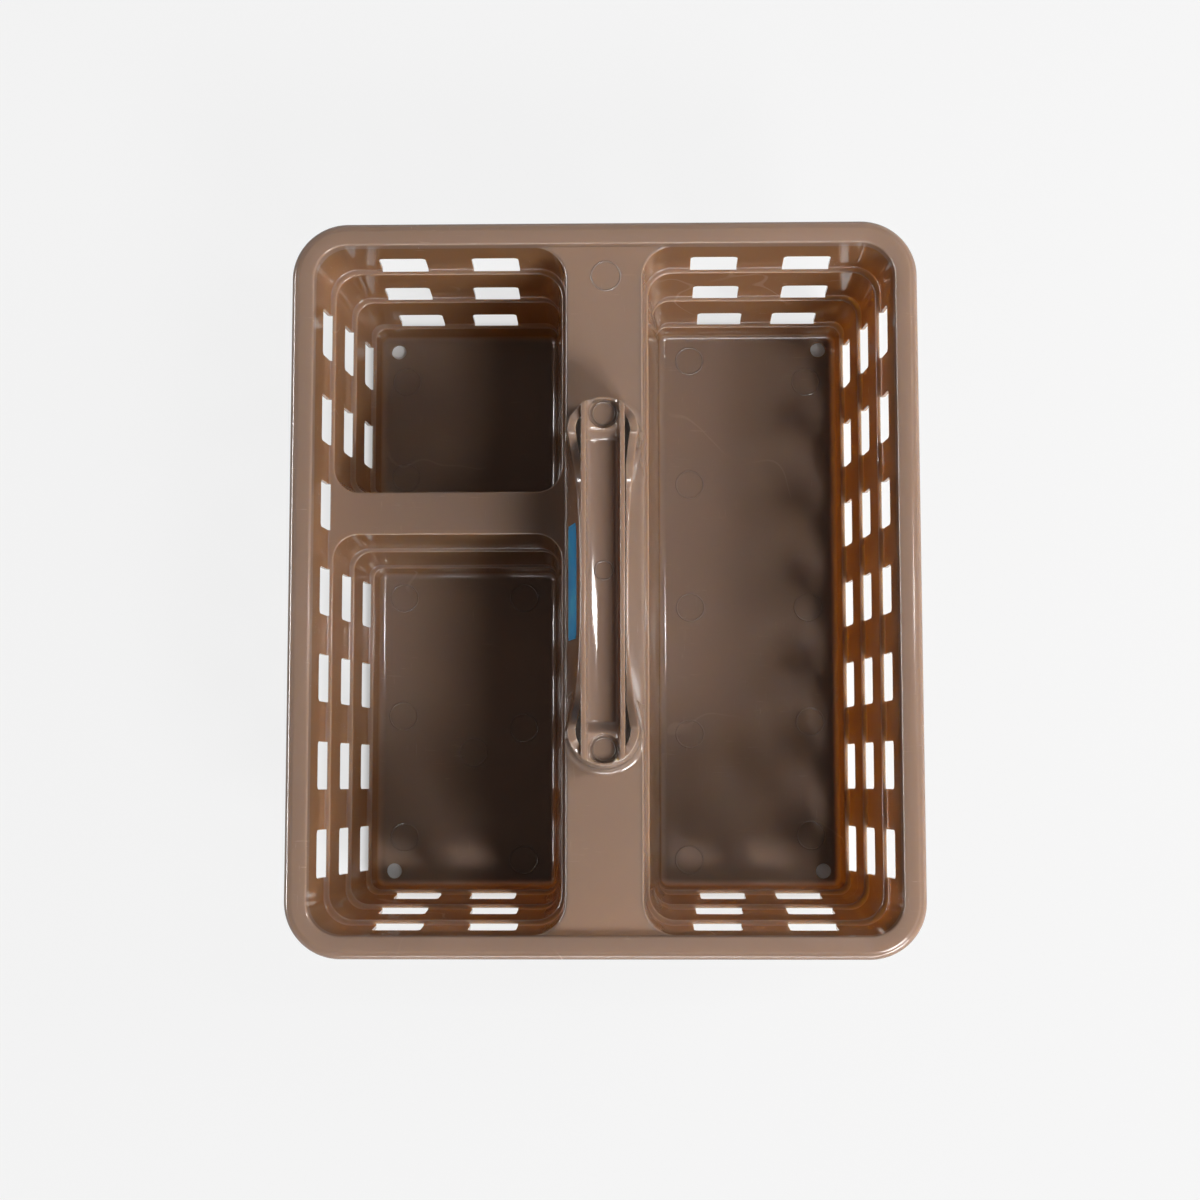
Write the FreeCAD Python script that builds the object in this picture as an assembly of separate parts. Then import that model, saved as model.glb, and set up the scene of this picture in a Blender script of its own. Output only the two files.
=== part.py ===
import FreeCAD, Part
import math
import os

"""Cleaning caddy: a three-compartment basket with a fixed carrying handle on a hollow spine.

The real thing is one straight-pull polypropylene moulding with an adhesive label.  Its regions are
modelled here as separate closed solids that meet face to face: rim, tub walls, tub floors, divider,
decks, spine flanks, handle posts and grip.

Units are millimetres.  +X is to the right, +Y to the rear, +Z up.  The origin is the centre of the
face that the caddy rests on.  A depth is measured down from the crown of the rim.
"""

# ---------------------------------------------------------------- driving dimensions
OVERALL_WIDTH = 280.0          # rim, outside, along X
OVERALL_LENGTH = 327.0         # rim, outside, along Y
BASKET_HEIGHT = 117.5          # resting face to the crown of the rim

WALL = 1.6                     # all drafted walls and ledges
FLOOR_THICKNESS = 2.0
DRAFT_DEG = 4.0                # mould draft of the tub walls

RIM_WIDTH = 10.0               # outer edge to the mouth of the tubs
RIM_CORNER = 25.0              # outer corner radius
RIM_WALL = 1.8
RIM_SKIRT = 9.0                # depth of the lip's lower edge
RIM_SHOULDER = 4.2             # depth where the rolled crown meets the skirt
CROWN_PARTS = 3                # straight stretches on each side of the rolled crown
MOUTH_DEPTH = 2.4              # depth of the mouth edge, where the crown turns down into the wall

DECK_DEPTH = 4.5               # top of the spine deck
STEP_DEPTH = 33.7              # first ledge
STEP_PITCH = 33.4              # one ledge to the next
STEP_COUNT = 3
LEDGE = 2.6                    # ledge width on the outer walls
LEDGE_CORNER = 1.0             # loss of corner radius at each ledge
COVE = 3.4                     # radius between wall and floor
COVE_MARGIN = 0.5              # smallest corner radius left at the floor
COVE_PARTS = 3
CORNER_PARTS = 6               # flats round each corner of a tub

SPINE_HALF = 17.3              # half width of the spine at its deck
SPINE_DRAFT_DEG = 1.4          # upper part of the spine flank
SPINE_LEDGE = 2.0

DIVIDER_CENTRE = 36.5          # Y of the divider between the two left tubs
DIVIDER_WIDTH = 19.7
DIVIDER_LEDGE = 1.8

WINDOW_LENGTH = 21.5
WINDOW_HEIGHT = 14.5
WINDOW_CORNER = 2.0            # radius of a window's upper corners
WINDOW_CORNER_PARTS = 2        # flats round it
SIDE_WINDOW_PITCH = 39.6
END_WINDOW_X = ((50.3, 92.9), (52.3, 94.6), (55.4, 91.9))   # centres, one pair for each row

DRAIN_RADIUS = 3.6
DRAIN_INSET_X = 11.6           # from the foot of the side wall
DRAIN_INSET_Y = 10.6           # from the foot of the end wall

POST_CENTRE = 64.4             # Y of the axis of each handle post
POST_TOP_RADIUS = 15.4
POST_FOOT_RADIUS = 16.7        # at the deck
POST_RISE = 24.0               # top of the posts and of the grip above the rim crown
POST_WALL = 1.8
POST_FILLET = 4.0              # radius between post and deck
FILLET_PARTS = 3               # straight stretches round that radius
POST_PARTS = 18                # flats round the outer half of a post

WAIST_HALF = 10.8              # half width of the hourglass waist at mid length
WAIST_DEPTH = 5.5              # depth of the finger edge at mid length
WAIST_POWER = 3                # how the waist widens towards the posts
EDGE_POWER = 5                 # how the finger edge climbs towards the posts
BEAD_WIDTH = 3.6               # inward-turned finger edge, at its widest
BEAD_THICKNESS = 1.8
BEAD_CLEARANCE = 0.1           # kept between the bead and the grip, seen from above
FLANK_STATIONS = 17

GRIP_HALF = 9.5                # outer half width of the grip trough
GRIP_WALL = 1.9
GRIP_DEPTH = 8.6               # depth of the trough along its long middle
CUP_DEPTH = 3.6                # depth of the shallow cups at its ends
GRIP_FLOOR_THICKNESS = 2.2
GRIP_COVE = 3.0                # radius between trough wall and trough floor, inside
GRIP_ROUND = 4.0               # the same outside
RAMP_LOW = 60.6                # Y where the ramp leaves the trough floor
RAMP_HIGH = 66.8               # and where it reaches the cup floor

LABEL_REAR = 29.0
LABEL_FRONT = -23.0
LABEL_RISE = 6.7               # lower edge above the first ledge
LABEL_HEIGHT = 14.9            # upright, lower edge to upper edge
LABEL_THICKNESS = 0.3
LABEL_BOND = 0.05              # glue line

# ---------------------------------------------------------------- derived values
DRAFT = math.tan(math.radians(DRAFT_DEG))
SPINE_DRAFT = math.tan(math.radians(SPINE_DRAFT_DEG))
HALF_WIDTH = OVERALL_WIDTH / 2
HALF_LENGTH = OVERALL_LENGTH / 2
FLOOR_DEPTH = BASKET_HEIGHT - FLOOR_THICKNESS
DECK_Z = BASKET_HEIGHT - DECK_DEPTH
STEP_DEPTHS = [STEP_DEPTH + STEP_PITCH * i for i in range(STEP_COUNT)]
SPINE_FOOT = SPINE_HALF + SPINE_DRAFT * (STEP_DEPTH - DECK_DEPTH)     # at the first ledge
DECK_UNDER_Z = DECK_Z - WALL
LEDGE_Z = BASKET_HEIGHT - STEP_DEPTH
POST_TOP_Z = BASKET_HEIGHT + POST_RISE
CUP_Z = POST_TOP_Z - CUP_DEPTH
TROUGH_Z = POST_TOP_Z - GRIP_DEPTH
FAR = 400.0                    # larger than the caddy, for cutting blocks


# ---------------------------------------------------------------- small helpers
def vec(x, y, z):
    return FreeCAD.Vector(x, y, z)


def block(x0, x1, y0, y1, z0, z1):
    """Box between two opposite corners."""
    return Part.makeBox(x1 - x0, y1 - y0, z1 - z0, vec(x0, y0, z0))


def outline(section):
    """Rounded rectangle (x0, x1, y0, y1, radius, z) as points, anticlockwise.  Each corner is
    laid out in CORNER_PARTS short flats."""
    x0, x1, y0, y1, r, z = section
    corners = ((x1 - r, y1 - r), (x0 + r, y1 - r), (x0 + r, y0 + r), (x1 - r, y0 + r))
    points = []
    for quarter, (cx, cy) in enumerate(corners):
        for i in range(CORNER_PARTS + 1):
            turn = math.pi / 2 * (quarter + i / CORNER_PARTS)
            points.append(vec(cx + r * math.cos(turn), cy + r * math.sin(turn), z))
    return points


def between(lower, upper):
    """Solid between two level loops whose sides run parallel, one above the other."""
    faces = [Part.Face(Part.makePolygon(loop + loop[:1])) for loop in (lower, upper)]
    for i in range(len(lower)):
        j = (i + 1) % len(lower)
        side = [lower[i], lower[j], upper[j], upper[i], lower[i]]
        faces.append(Part.Face(Part.makePolygon(side)))
    skin = Part.Compound(faces)
    skin.sewShape(0.0001)
    return Part.makeSolid(skin.Shells[0])


def frustum(lower, upper):
    """Solid between two rounded rectangles with straight drafted sides."""
    return between(outline(lower), outline(upper))


def fuse_all(solids):
    body = solids[0].multiFuse(solids[1:]) if len(solids) > 1 else solids[0]
    return body.removeSplitter()


# ---------------------------------------------------------------- where the tub walls are
def outer_inset(depth, tier):
    """Inset of a tub's inner wall from the rim's outer edge."""
    return RIM_WIDTH + DRAFT * depth + LEDGE * tier


def spine_side(depth, tier):
    """X of the spine-side inner wall: a short upper part, one ledge and a plain lower wall."""
    if tier == 0:
        return SPINE_HALF + SPINE_DRAFT * (depth - DECK_DEPTH)
    return SPINE_FOOT + SPINE_LEDGE + DRAFT * (depth - STEP_DEPTH)


def divider_side(depth, tier):
    """Distance from the divider's centre plane to a left tub's inner wall."""
    return DIVIDER_WIDTH / 2 + DRAFT * (depth - STEP_DEPTH) + DIVIDER_LEDGE * (tier - 1)


def corner(depth, tier):
    """Corner radius of a tub: it shrinks with the draft and again at each ledge."""
    return RIM_CORNER - RIM_WIDTH - DRAFT * depth - LEDGE_CORNER * tier


def tub_section(tub, depth, tier):
    """Inner outline of a tub at a depth."""
    side = HALF_WIDTH - outer_inset(depth, tier)
    end = HALF_LENGTH - outer_inset(depth, tier)
    near = spine_side(depth, tier)
    radius = corner(depth, tier)
    z = BASKET_HEIGHT - depth
    if tub == "right":
        return (near, side, -end, end, radius, z)
    if tub == "left_upper":
        return (-side, -near, -end, end, radius, z)
    if tub == "rear_left":
        return (-side, -near, DIVIDER_CENTRE + divider_side(depth, tier), end, radius, z)
    return (-side, -near, -end, DIVIDER_CENTRE - divider_side(depth, tier), radius, z)


def resized(section, grow, drop):
    """Section grown outwards by one amount and lowered by another."""
    x0, x1, y0, y1, r, z = section
    return (x0 - grow, x1 + grow, y0 - grow, y1 + grow, r + grow, z - drop)


def tiers_of(tub):
    """(tier number, top depth, bottom depth) of each drafted stretch of a tub."""
    if tub == "left_upper":
        return [(0, DECK_DEPTH, STEP_DEPTH)]
    bounds = [DECK_DEPTH] + STEP_DEPTHS + [FLOOR_DEPTH]
    tiers = [(i, bounds[i], bounds[i + 1]) for i in range(len(bounds) - 1)]
    return tiers if tub == "right" else tiers[1:]


def cove_radius():
    """Radius between wall and floor, never more than the corner of the floor leaves room for."""
    return min(COVE, corner(FLOOR_DEPTH, STEP_COUNT) - COVE_MARGIN)


def cove_sections(tub, tier, grow, radius, floor_z):
    """Sections of the quarter-round between the lowest wall and the floor."""
    sections = []
    for i in range(COVE_PARTS + 1):
        angle = math.pi / 2 * i / COVE_PARTS
        height = radius * (1 - math.sin(angle))
        inset = radius * (1 - math.cos(angle))
        wall = tub_section(tub, FLOOR_DEPTH - height, tier)
        shrunk = resized(wall, grow - inset, 0)
        sections.append(shrunk[:5] + (floor_z + height,))
    return sections


def tub_stack(tub, grow, ledge_drop, floor_drop):
    """Solids, top to bottom, that fill a tub's inner form, or its outer form when grown."""
    solids = []
    tiers = tiers_of(tub)
    for tier, top, bottom in tiers:
        first = tier == tiers[0][0]
        last = tub != "left_upper" and tier == tiers[-1][0]
        upper = resized(tub_section(tub, top, tier), grow, 0 if first else ledge_drop)
        if not last:
            lower = resized(tub_section(tub, bottom, tier), grow, ledge_drop)
            solids.append(frustum(lower, upper))
            continue
        floor_z = BASKET_HEIGHT - FLOOR_DEPTH - floor_drop
        cove = cove_sections(tub, tier, grow, cove_radius() + grow, floor_z)
        solids.append(frustum(cove[0], upper))
        solids += [frustum(cove[i + 1], cove[i]) for i in range(COVE_PARTS)]
    return solids


def tub_shell(tub):
    outside = fuse_all(tub_stack(tub, WALL, WALL, FLOOR_THICKNESS))
    return outside.cut(fuse_all(tub_stack(tub, 0, 0, 0)))


# ---------------------------------------------------------------- windows and drain holes
def window_cutter(across_x, centre, sign, row):
    """Cuts one window with its sill on a ledge.  The sill keeps the top of the wall below it.

    The wall faces along X (across_x False) or along Y (True); sign says which of the two walls.
    """
    sill = BASKET_HEIGHT - STEP_DEPTHS[row]
    limit = (HALF_LENGTH if across_x else HALF_WIDTH) - outer_inset(STEP_DEPTHS[row], row + 1) + WALL
    half, high, r = WINDOW_LENGTH / 2, sill + WINDOW_HEIGHT, WINDOW_CORNER
    turns = [math.pi / 2 * i / WINDOW_CORNER_PARTS for i in range(WINDOW_CORNER_PARTS + 1)]
    right = [(half - r + r * math.cos(t), high - r + r * math.sin(t)) for t in turns]
    left = [(-along, z) for along, z in reversed(right)]
    low = sill - 2 * WALL
    loop = []
    for along, z in [(-half, low), (half, low)] + right + left:
        if across_x:
            loop.append(vec(centre + along, sign * limit, z))
        else:
            loop.append(vec(sign * limit, centre + along, z))
    reach = sign * (RIM_WIDTH + LEDGE * STEP_COUNT + DRAFT * BASKET_HEIGHT)
    travel = vec(0, reach, 0) if across_x else vec(reach, 0, 0)
    return Part.Face(Part.makePolygon(loop + loop[:1])).extrude(travel)


def side_windows(tub, sign, row):
    """Windows of a side wall: every column, counted out from mid length, that the straight part
    of the wall holds whole."""
    low, high = straight_part(tub)
    count = int(HALF_LENGTH / SIDE_WINDOW_PITCH)
    columns = [SIDE_WINDOW_PITCH * i for i in range(-count, count + 1)]
    half = WINDOW_LENGTH / 2
    return [window_cutter(False, y, sign, row) for y in columns if low + half < y < high - half]


def end_windows(x_sign, y_sign, row):
    return [window_cutter(True, x_sign * x, y_sign, row) for x in END_WINDOW_X[row]]


def drain_hole(x_sign, y_sign):
    foot = outer_inset(FLOOR_DEPTH, STEP_COUNT)
    x = x_sign * (HALF_WIDTH - foot - DRAIN_INSET_X + cove_radius())
    y = y_sign * (HALF_LENGTH - foot - DRAIN_INSET_Y + cove_radius())
    return Part.makeCylinder(DRAIN_RADIUS, FLOOR_THICKNESS * 3, vec(x, y, -FLOOR_THICKNESS))


# ---------------------------------------------------------------- splitting a tub into its walls
def straight_part(tub):
    """Y range over which a tub's side walls are straight all the way down."""
    lowest = "right" if tub == "left_upper" else tub
    _, _, y0, y1, r, _ = tub_section(lowest, FLOOR_DEPTH, STEP_COUNT)
    return y0 + r, y1 - r


def wall_region(tub, face):
    """Space that holds one wall of a tub.  The +y and -y walls keep the rounded corners."""
    x0, x1, _, _, _, _ = tub_section(tub, STEP_DEPTH, 0)
    middle = (x0 + x1) / 2
    low, high = straight_part(tub)
    return {"+x": block(middle, FAR, low, high, 0, FAR),
            "-x": block(-FAR, middle, low, high, 0, FAR),
            "+y": block(-FAR, FAR, high, FAR, 0, FAR),
            "-y": block(-FAR, FAR, -FAR, low, 0, FAR)}[face]


# ---------------------------------------------------------------- rim
def rim_profile():
    """Section of the rolled lip, as (inset from the outer edge, height): a crown between two
    quarter ellipses, the lip's skirt outside and the head of the tub wall inside."""
    top = BASKET_HEIGHT
    inner = outer_inset(DECK_DEPTH, 0)
    mouth = outer_inset(MOUTH_DEPTH, 0)
    crown = (RIM_WIDTH - RIM_WALL) / 2
    turns = [math.pi / 2 * i / CROWN_PARTS for i in range(CROWN_PARTS + 1)]
    points = [(0, top - RIM_SKIRT)]
    points += [(crown * (1 - math.cos(t)), top - RIM_SHOULDER * (1 - math.sin(t))) for t in turns]
    points += [(crown + (mouth - crown) * math.sin(t), top - MOUTH_DEPTH * (1 - math.cos(t)))
               for t in turns[1:]]
    points += [(inner, DECK_Z), (inner - WALL, DECK_Z),
               (mouth - WALL, top - MOUTH_DEPTH - RIM_WALL / 2), (crown, top - RIM_WALL),
               (RIM_WALL, top - RIM_SHOULDER - RIM_WALL / 3), (RIM_WALL, top - RIM_SKIRT)]
    loop = [vec(inset, 0, z) for inset, z in points]
    return Part.Face(Part.makePolygon(loop + loop[:1]))


def rim():
    """The lip profile carried round the rounded rectangle: four straight runs and four corners."""
    profile = rim_profile()
    pieces = []
    for turn, half_run, reach in ((0, HALF_LENGTH, HALF_WIDTH), (90, HALF_WIDTH, HALF_LENGTH),
                                  (180, HALF_LENGTH, HALF_WIDTH), (270, HALF_WIDTH, HALF_LENGTH)):
        start = half_run - RIM_CORNER
        face = profile.copy()
        face.rotate(vec(0, 0, 0), vec(0, 0, 1), 180)
        face.translate(vec(reach, -start, 0))
        run = face.extrude(vec(0, 2 * start, 0))
        corner_face = face.copy()
        corner_face.translate(vec(0, 2 * start, 0))
        bend = corner_face.revolve(vec(reach - RIM_CORNER, start, 0), vec(0, 0, 1), 90)
        for piece in (run, bend):
            piece.rotate(vec(0, 0, 0), vec(0, 0, 1), turn)
            pieces.append(piece)
    return fuse_all(pieces)


# ---------------------------------------------------------------- spine flanks and handle posts
def waist_x(y):
    """Outer X of the finger edge: narrow at mid length, as wide as the posts at their axes."""
    share = abs(y) / POST_CENTRE
    return WAIST_HALF + (POST_TOP_RADIUS - WAIST_HALF) * share ** WAIST_POWER


def edge_z(y):
    """Height of the finger edge: low at mid length, climbing to the top of the posts."""
    share = abs(y) / POST_CENTRE
    low = BASKET_HEIGHT - WAIST_DEPTH
    return low + (POST_TOP_Z - low) * share ** EDGE_POWER


def flank_point(y, z, out=0.0):
    """Point on the right flank's leaning outer face at a height, moved out along X."""
    share = (z - LEDGE_Z) / (edge_z(y) - LEDGE_Z)
    return vec(SPINE_FOOT + (waist_x(y) - SPINE_FOOT) * share + out, y, z)


def flank_section(y):
    """Section of the flank in the handle zone: a leaning wall with an inward-turned finger edge."""
    foot, top, edge = SPINE_FOOT, waist_x(y), edge_z(y)
    lean = (top - foot) / (edge - LEDGE_Z)
    soft = BEAD_THICKNESS / 3
    under = edge - BEAD_THICKNESS - soft
    inner_wall = top - WALL - lean * (edge - under)
    tip = top - min(BEAD_WIDTH, top - GRIP_HALF - BEAD_CLEARANCE)
    points = [vec(foot, y, LEDGE_Z),
              vec(top - lean * soft, y, edge - soft),
              vec(top - soft, y, edge),
              vec(tip, y, edge - soft),
              vec(min(tip, inner_wall - soft), y, under + soft),
              vec(inner_wall, y, under),
              vec(foot - WALL, y, LEDGE_Z)]
    return Part.makePolygon(points + points[:1])


def handle_zone_flank():
    """Right flank between the two post axes, ruled from one evenly spaced section to the next."""
    step = 2 * POST_CENTRE / (FLANK_STATIONS - 1)
    wires = [flank_section(-POST_CENTRE + step * i) for i in range(FLANK_STATIONS)]
    return Part.makeLoft(wires, True, True)


def turned(rings):
    """Solid of flats about the rear post's axis, from (radius, height) rings, lowest first."""
    loops = []
    for radius, z in rings:
        turns = [math.pi * i / POST_PARTS for i in range(2 * POST_PARTS)]
        loops.append([vec(radius * math.cos(t), POST_CENTRE + radius * math.sin(t), z) for t in turns])
    return fuse_all([between(loops[i], loops[i + 1]) for i in range(len(loops) - 1)])


def post_radius(z):
    """Outer radius of a post: it tapers from its foot at the deck to its top."""
    return POST_FOOT_RADIUS - (POST_FOOT_RADIUS - POST_TOP_RADIUS) * (z - DECK_Z) / (POST_TOP_Z - DECK_Z)


def post_bore(low, high):
    """Hollow inside the rear post between two heights."""
    return turned([(post_radius(z) - POST_WALL, z) for z in (low, high)])


def finger_edge_round_post():
    """The inward-turned finger edge, carried on round the post's top as far as the grip."""
    low = POST_TOP_Z - BEAD_THICKNESS
    ring = turned([(post_radius(z) - POST_WALL / 2, z) for z in (low, POST_TOP_Z)])
    hole = turned([(post_radius(z) - BEAD_WIDTH, z) for z in (low, POST_TOP_Z)])
    return ring.cut([hole, block(-GRIP_HALF, GRIP_HALF, 0, FAR, 0, FAR)])


def post_shell():
    """Rear post: a half cone that stands on the deck, with the fillet round its foot."""
    wide = post_radius(DECK_UNDER_Z)
    shaft = turned([(wide, DECK_UNDER_Z), (POST_TOP_RADIUS, POST_TOP_Z)])
    flank_inside = SPINE_HALF - WALL
    fitted = fuse_all([block(-SPINE_HALF, SPINE_HALF, 0, FAR, DECK_Z, FAR),
                       block(-flank_inside, flank_inside, 0, FAR, DECK_UNDER_Z, DECK_Z)])
    solid = fuse_all([shaft, foot_fillet()]).common(fitted)
    rear_half = block(-FAR, FAR, POST_CENTRE, FAR, 0, FAR)
    shell = solid.cut(post_bore(DECK_UNDER_Z, POST_TOP_Z))
    return fuse_all([shell, finger_edge_round_post()]).common(rear_half)


def foot_fillet():
    """Concave round between the post and the deck, in straight stretches."""
    rings = []
    for i in range(FILLET_PARTS + 1):
        turn = math.pi / 2 * i / FILLET_PARTS
        z = DECK_Z + POST_FILLET * (1 - math.cos(turn))
        rings.append((post_radius(z) + POST_FILLET * (1 - math.sin(turn)), z))
    return turned(rings)


# ---------------------------------------------------------------- grip
def grip_profile():
    """Side view of the grip: flat top edge, shallow cups at the ends, ramps down to the trough."""
    thick = GRIP_FLOOR_THICKNESS
    end = POST_CENTRE + POST_TOP_RADIUS
    half = [(RAMP_LOW, TROUGH_Z), (RAMP_HIGH, CUP_Z), (end, CUP_Z)]
    upper = [(-y, z) for y, z in reversed(half)] + half
    return [(y, z) for y, z in upper], [(y, z - thick) for y, z in upper]


def side_plate(line, top, half):
    """Solid between a line in side view and a level above it, |X| up to half."""
    loop = [(line[0][0], top)] + line + [(line[-1][0], top)]
    points = [vec(-half, y, z) for y, z in loop]
    return Part.Face(Part.makePolygon(points + points[:1])).extrude(vec(2 * half, 0, 0))


def rounded_along(solid, radius):
    """Rounds the bottom edges of a trough-shaped solid, the ones that run along its length."""
    low = [edge for edge in solid.Edges
           if abs(edge.Vertexes[0].X - edge.Vertexes[-1].X) < 1e-6
           and abs(edge.Vertexes[0].Y - edge.Vertexes[-1].Y) > WALL
           and max(v.Z for v in edge.Vertexes) < CUP_Z + WALL]
    return solid.makeFillet(radius, low)


def grip():
    """Grip trough: a rounded outer bar less a rounded inner form, ending on the post walls."""
    inside_line, outside_line = grip_profile()
    outer = rounded_along(side_plate(outside_line, POST_TOP_Z, GRIP_HALF), GRIP_ROUND)
    inner = rounded_along(side_plate(inside_line, POST_TOP_Z + GRIP_COVE, GRIP_HALF - GRIP_WALL), GRIP_COVE)
    return outer.cut(inner).common(between_posts())


def between_posts():
    """Space between the inner faces of the two posts."""
    bore = post_bore(DECK_Z, POST_TOP_Z)
    middle = block(-FAR, FAR, -POST_CENTRE, POST_CENTRE, DECK_Z, POST_TOP_Z)
    return fuse_all([middle, bore, mirrored_y(bore)])


# ---------------------------------------------------------------- label
def label():
    """Thin rectangular label on the left flank, following its lean."""
    count = 5
    step = (LABEL_REAR - LABEL_FRONT) / (count - 1)
    wires = []
    near, far = LABEL_BOND, LABEL_BOND + LABEL_THICKNESS
    low, high = LEDGE_Z + LABEL_RISE, LEDGE_Z + LABEL_RISE + LABEL_HEIGHT
    for i in range(count):
        y = LABEL_FRONT + step * i
        points = [flank_point(y, low, near), flank_point(y, high, near),
                  flank_point(y, high, far), flank_point(y, low, far)]
        wires.append(Part.makePolygon(points + points[:1]))
    return Part.makeLoft(wires, True, True).mirror(vec(0, 0, 0), vec(1, 0, 0))


# ---------------------------------------------------------------- assembly
def mirrored_x(shape):
    return shape.mirror(vec(0, 0, 0), vec(1, 0, 0))


def mirrored_y(shape):
    return shape.mirror(vec(0, 0, 0), vec(0, 1, 0))


def right_tub(nodes):
    shell = tub_shell("right")
    cutters = [drain_hole(1, 1), drain_hole(1, -1)]
    for row in range(STEP_COUNT):
        cutters += side_windows("right", 1, row)
        cutters += end_windows(1, 1, row) + end_windows(1, -1, row)
    shell = shell.cut(cutters)
    nodes["right_floor"] = shell.common(block(0, FAR, -FAR, FAR, -1, FLOOR_THICKNESS))
    upper = shell.common(block(0, FAR, -FAR, FAR, FLOOR_THICKNESS, DECK_Z))
    names = {"+x": "right_side_wall", "+y": "right_rear_wall", "-y": "right_front_wall",
             "-x": "right_spine_wall"}
    for face, name in names.items():
        nodes[name] = upper.common(wall_region("right", face))


def left_tub(nodes, tub, end_sign, names):
    """One of the two lower left tubs: shell below the first ledge, floor and four walls."""
    shell = tub_shell(tub)
    cutters = [drain_hole(-1, end_sign)]
    for row in range(1, STEP_COUNT):
        cutters += side_windows(tub, -1, row)
        cutters += end_windows(-1, end_sign, row)
    shell = shell.cut(cutters)
    nodes[names["floor"]] = shell.common(block(-FAR, 0, -FAR, FAR, -1, FLOOR_THICKNESS))
    top = LEDGE_Z - WALL
    upper = shell.common(block(-FAR, 0, -FAR, FAR, FLOOR_THICKNESS, top))
    for face in ("+x", "-x", "+y", "-y"):
        nodes[names[face]] = upper.common(wall_region(tub, face))


def left_upper(nodes):
    """The undivided upper part on the left: its three outer walls and the divider's deck."""
    shell = tub_shell("left_upper")
    openings = [frustum(resized(tub_section(tub, STEP_DEPTH, 1), 0, 2 * WALL),
                        resized(tub_section(tub, STEP_DEPTH, 1), 0, -WALL))
                for tub in ("rear_left", "front_left")]
    cutters = openings + side_windows("left_upper", -1, 0) + end_windows(-1, 1, 0) + end_windows(-1, -1, 0)
    shell = shell.cut(cutters)
    x0, x1, _, _, r, _ = tub_section("rear_left", STEP_DEPTH, 1)
    reach = DIVIDER_WIDTH / 2 + r
    deck_zone = block(x0, x1, DIVIDER_CENTRE - reach, DIVIDER_CENTRE + reach,
                      LEDGE_Z - WALL, LEDGE_Z)
    nodes["divider_deck"] = shell.common(deck_zone)
    rest = shell.cut(deck_zone)
    for face, name in (("-x", "left_side_upper_wall"), ("+y", "left_rear_upper_wall"),
                       ("-y", "left_front_upper_wall")):
        nodes[name] = rest.common(wall_region("left_upper", face))
    return rest.common(wall_region("left_upper", "+x"))


def spine_flank(upper_wall, side):
    """Flank of the spine: drafted wall beside the decks, leaning wall in the handle zone."""
    gap = block(-FAR, FAR, -POST_CENTRE, POST_CENTRE, LEDGE_Z, FAR)
    leaning = handle_zone_flank()
    if side < 0:
        leaning = mirrored_x(leaning)
    return fuse_all([upper_wall.cut(gap), leaning])


def rear_deck():
    """Deck between the rear post and the rim, filling in between the corners of the tubs."""
    end = HALF_LENGTH - outer_inset(DECK_DEPTH, 0) + WALL
    reach = SPINE_HALF + corner(DECK_DEPTH, 0)
    plate = block(-reach, reach, POST_CENTRE, end, DECK_UNDER_Z, DECK_Z)
    tubs = [tub_stack("right", WALL, WALL, FLOOR_THICKNESS)[0],
            tub_stack("left_upper", WALL, WALL, FLOOR_THICKNESS)[0]]
    post = turned([(post_radius(z), z) for z in (DECK_UNDER_Z, DECK_Z)])
    return plate.cut(tubs + [post])


def build_nodes():
    nodes = {"rim": rim()}
    right_tub(nodes)
    left_tub(nodes, "rear_left", 1,
             {"floor": "rear_left_floor", "-x": "rear_left_side_wall", "+y": "rear_left_end_wall",
              "-y": "divider_rear_wall", "+x": "rear_left_spine_wall"})
    left_tub(nodes, "front_left", -1,
             {"floor": "front_left_floor", "-x": "front_left_side_wall",
              "-y": "front_left_end_wall", "+y": "divider_front_wall",
              "+x": "front_left_spine_wall"})
    left_spine = left_upper(nodes)
    right_spine = nodes["right_spine_wall"]
    above = block(-FAR, FAR, -FAR, FAR, LEDGE_Z, FAR)
    nodes["right_spine_wall"] = right_spine.cut(above)
    nodes["left_spine_ledge"] = left_spine.cut(above)
    nodes["right_flank"] = spine_flank(right_spine.common(above), 1)
    nodes["left_flank"] = spine_flank(left_spine.common(above), -1)
    nodes["rear_deck"] = rear_deck()
    nodes["front_deck"] = mirrored_y(nodes["rear_deck"])
    nodes["rear_post"] = post_shell()
    nodes["front_post"] = mirrored_y(nodes["rear_post"])
    nodes["grip"] = grip()
    nodes["label"] = label()
    return nodes


def main():
    os.makedirs("parts", exist_ok=True)
    for name, shape in build_nodes().items():
        if not shape.isValid() or len(shape.Solids) != 1:
            raise ValueError(name + " is not one valid solid")
        shape.Solids[0].exportStep("parts/" + name + ".step")


main()
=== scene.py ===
"""Looks of a moulded cleaning caddy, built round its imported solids.

Lengths inside the surface functions are millimetres; meshes are written in metres.
"""

import math

import bmesh
import bpy
import numpy as np
from bpy.props import FloatProperty, FloatVectorProperty, PointerProperty
from mathutils import Matrix, Vector
from mathutils.geometry import delaunay_2d_cdt


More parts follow.
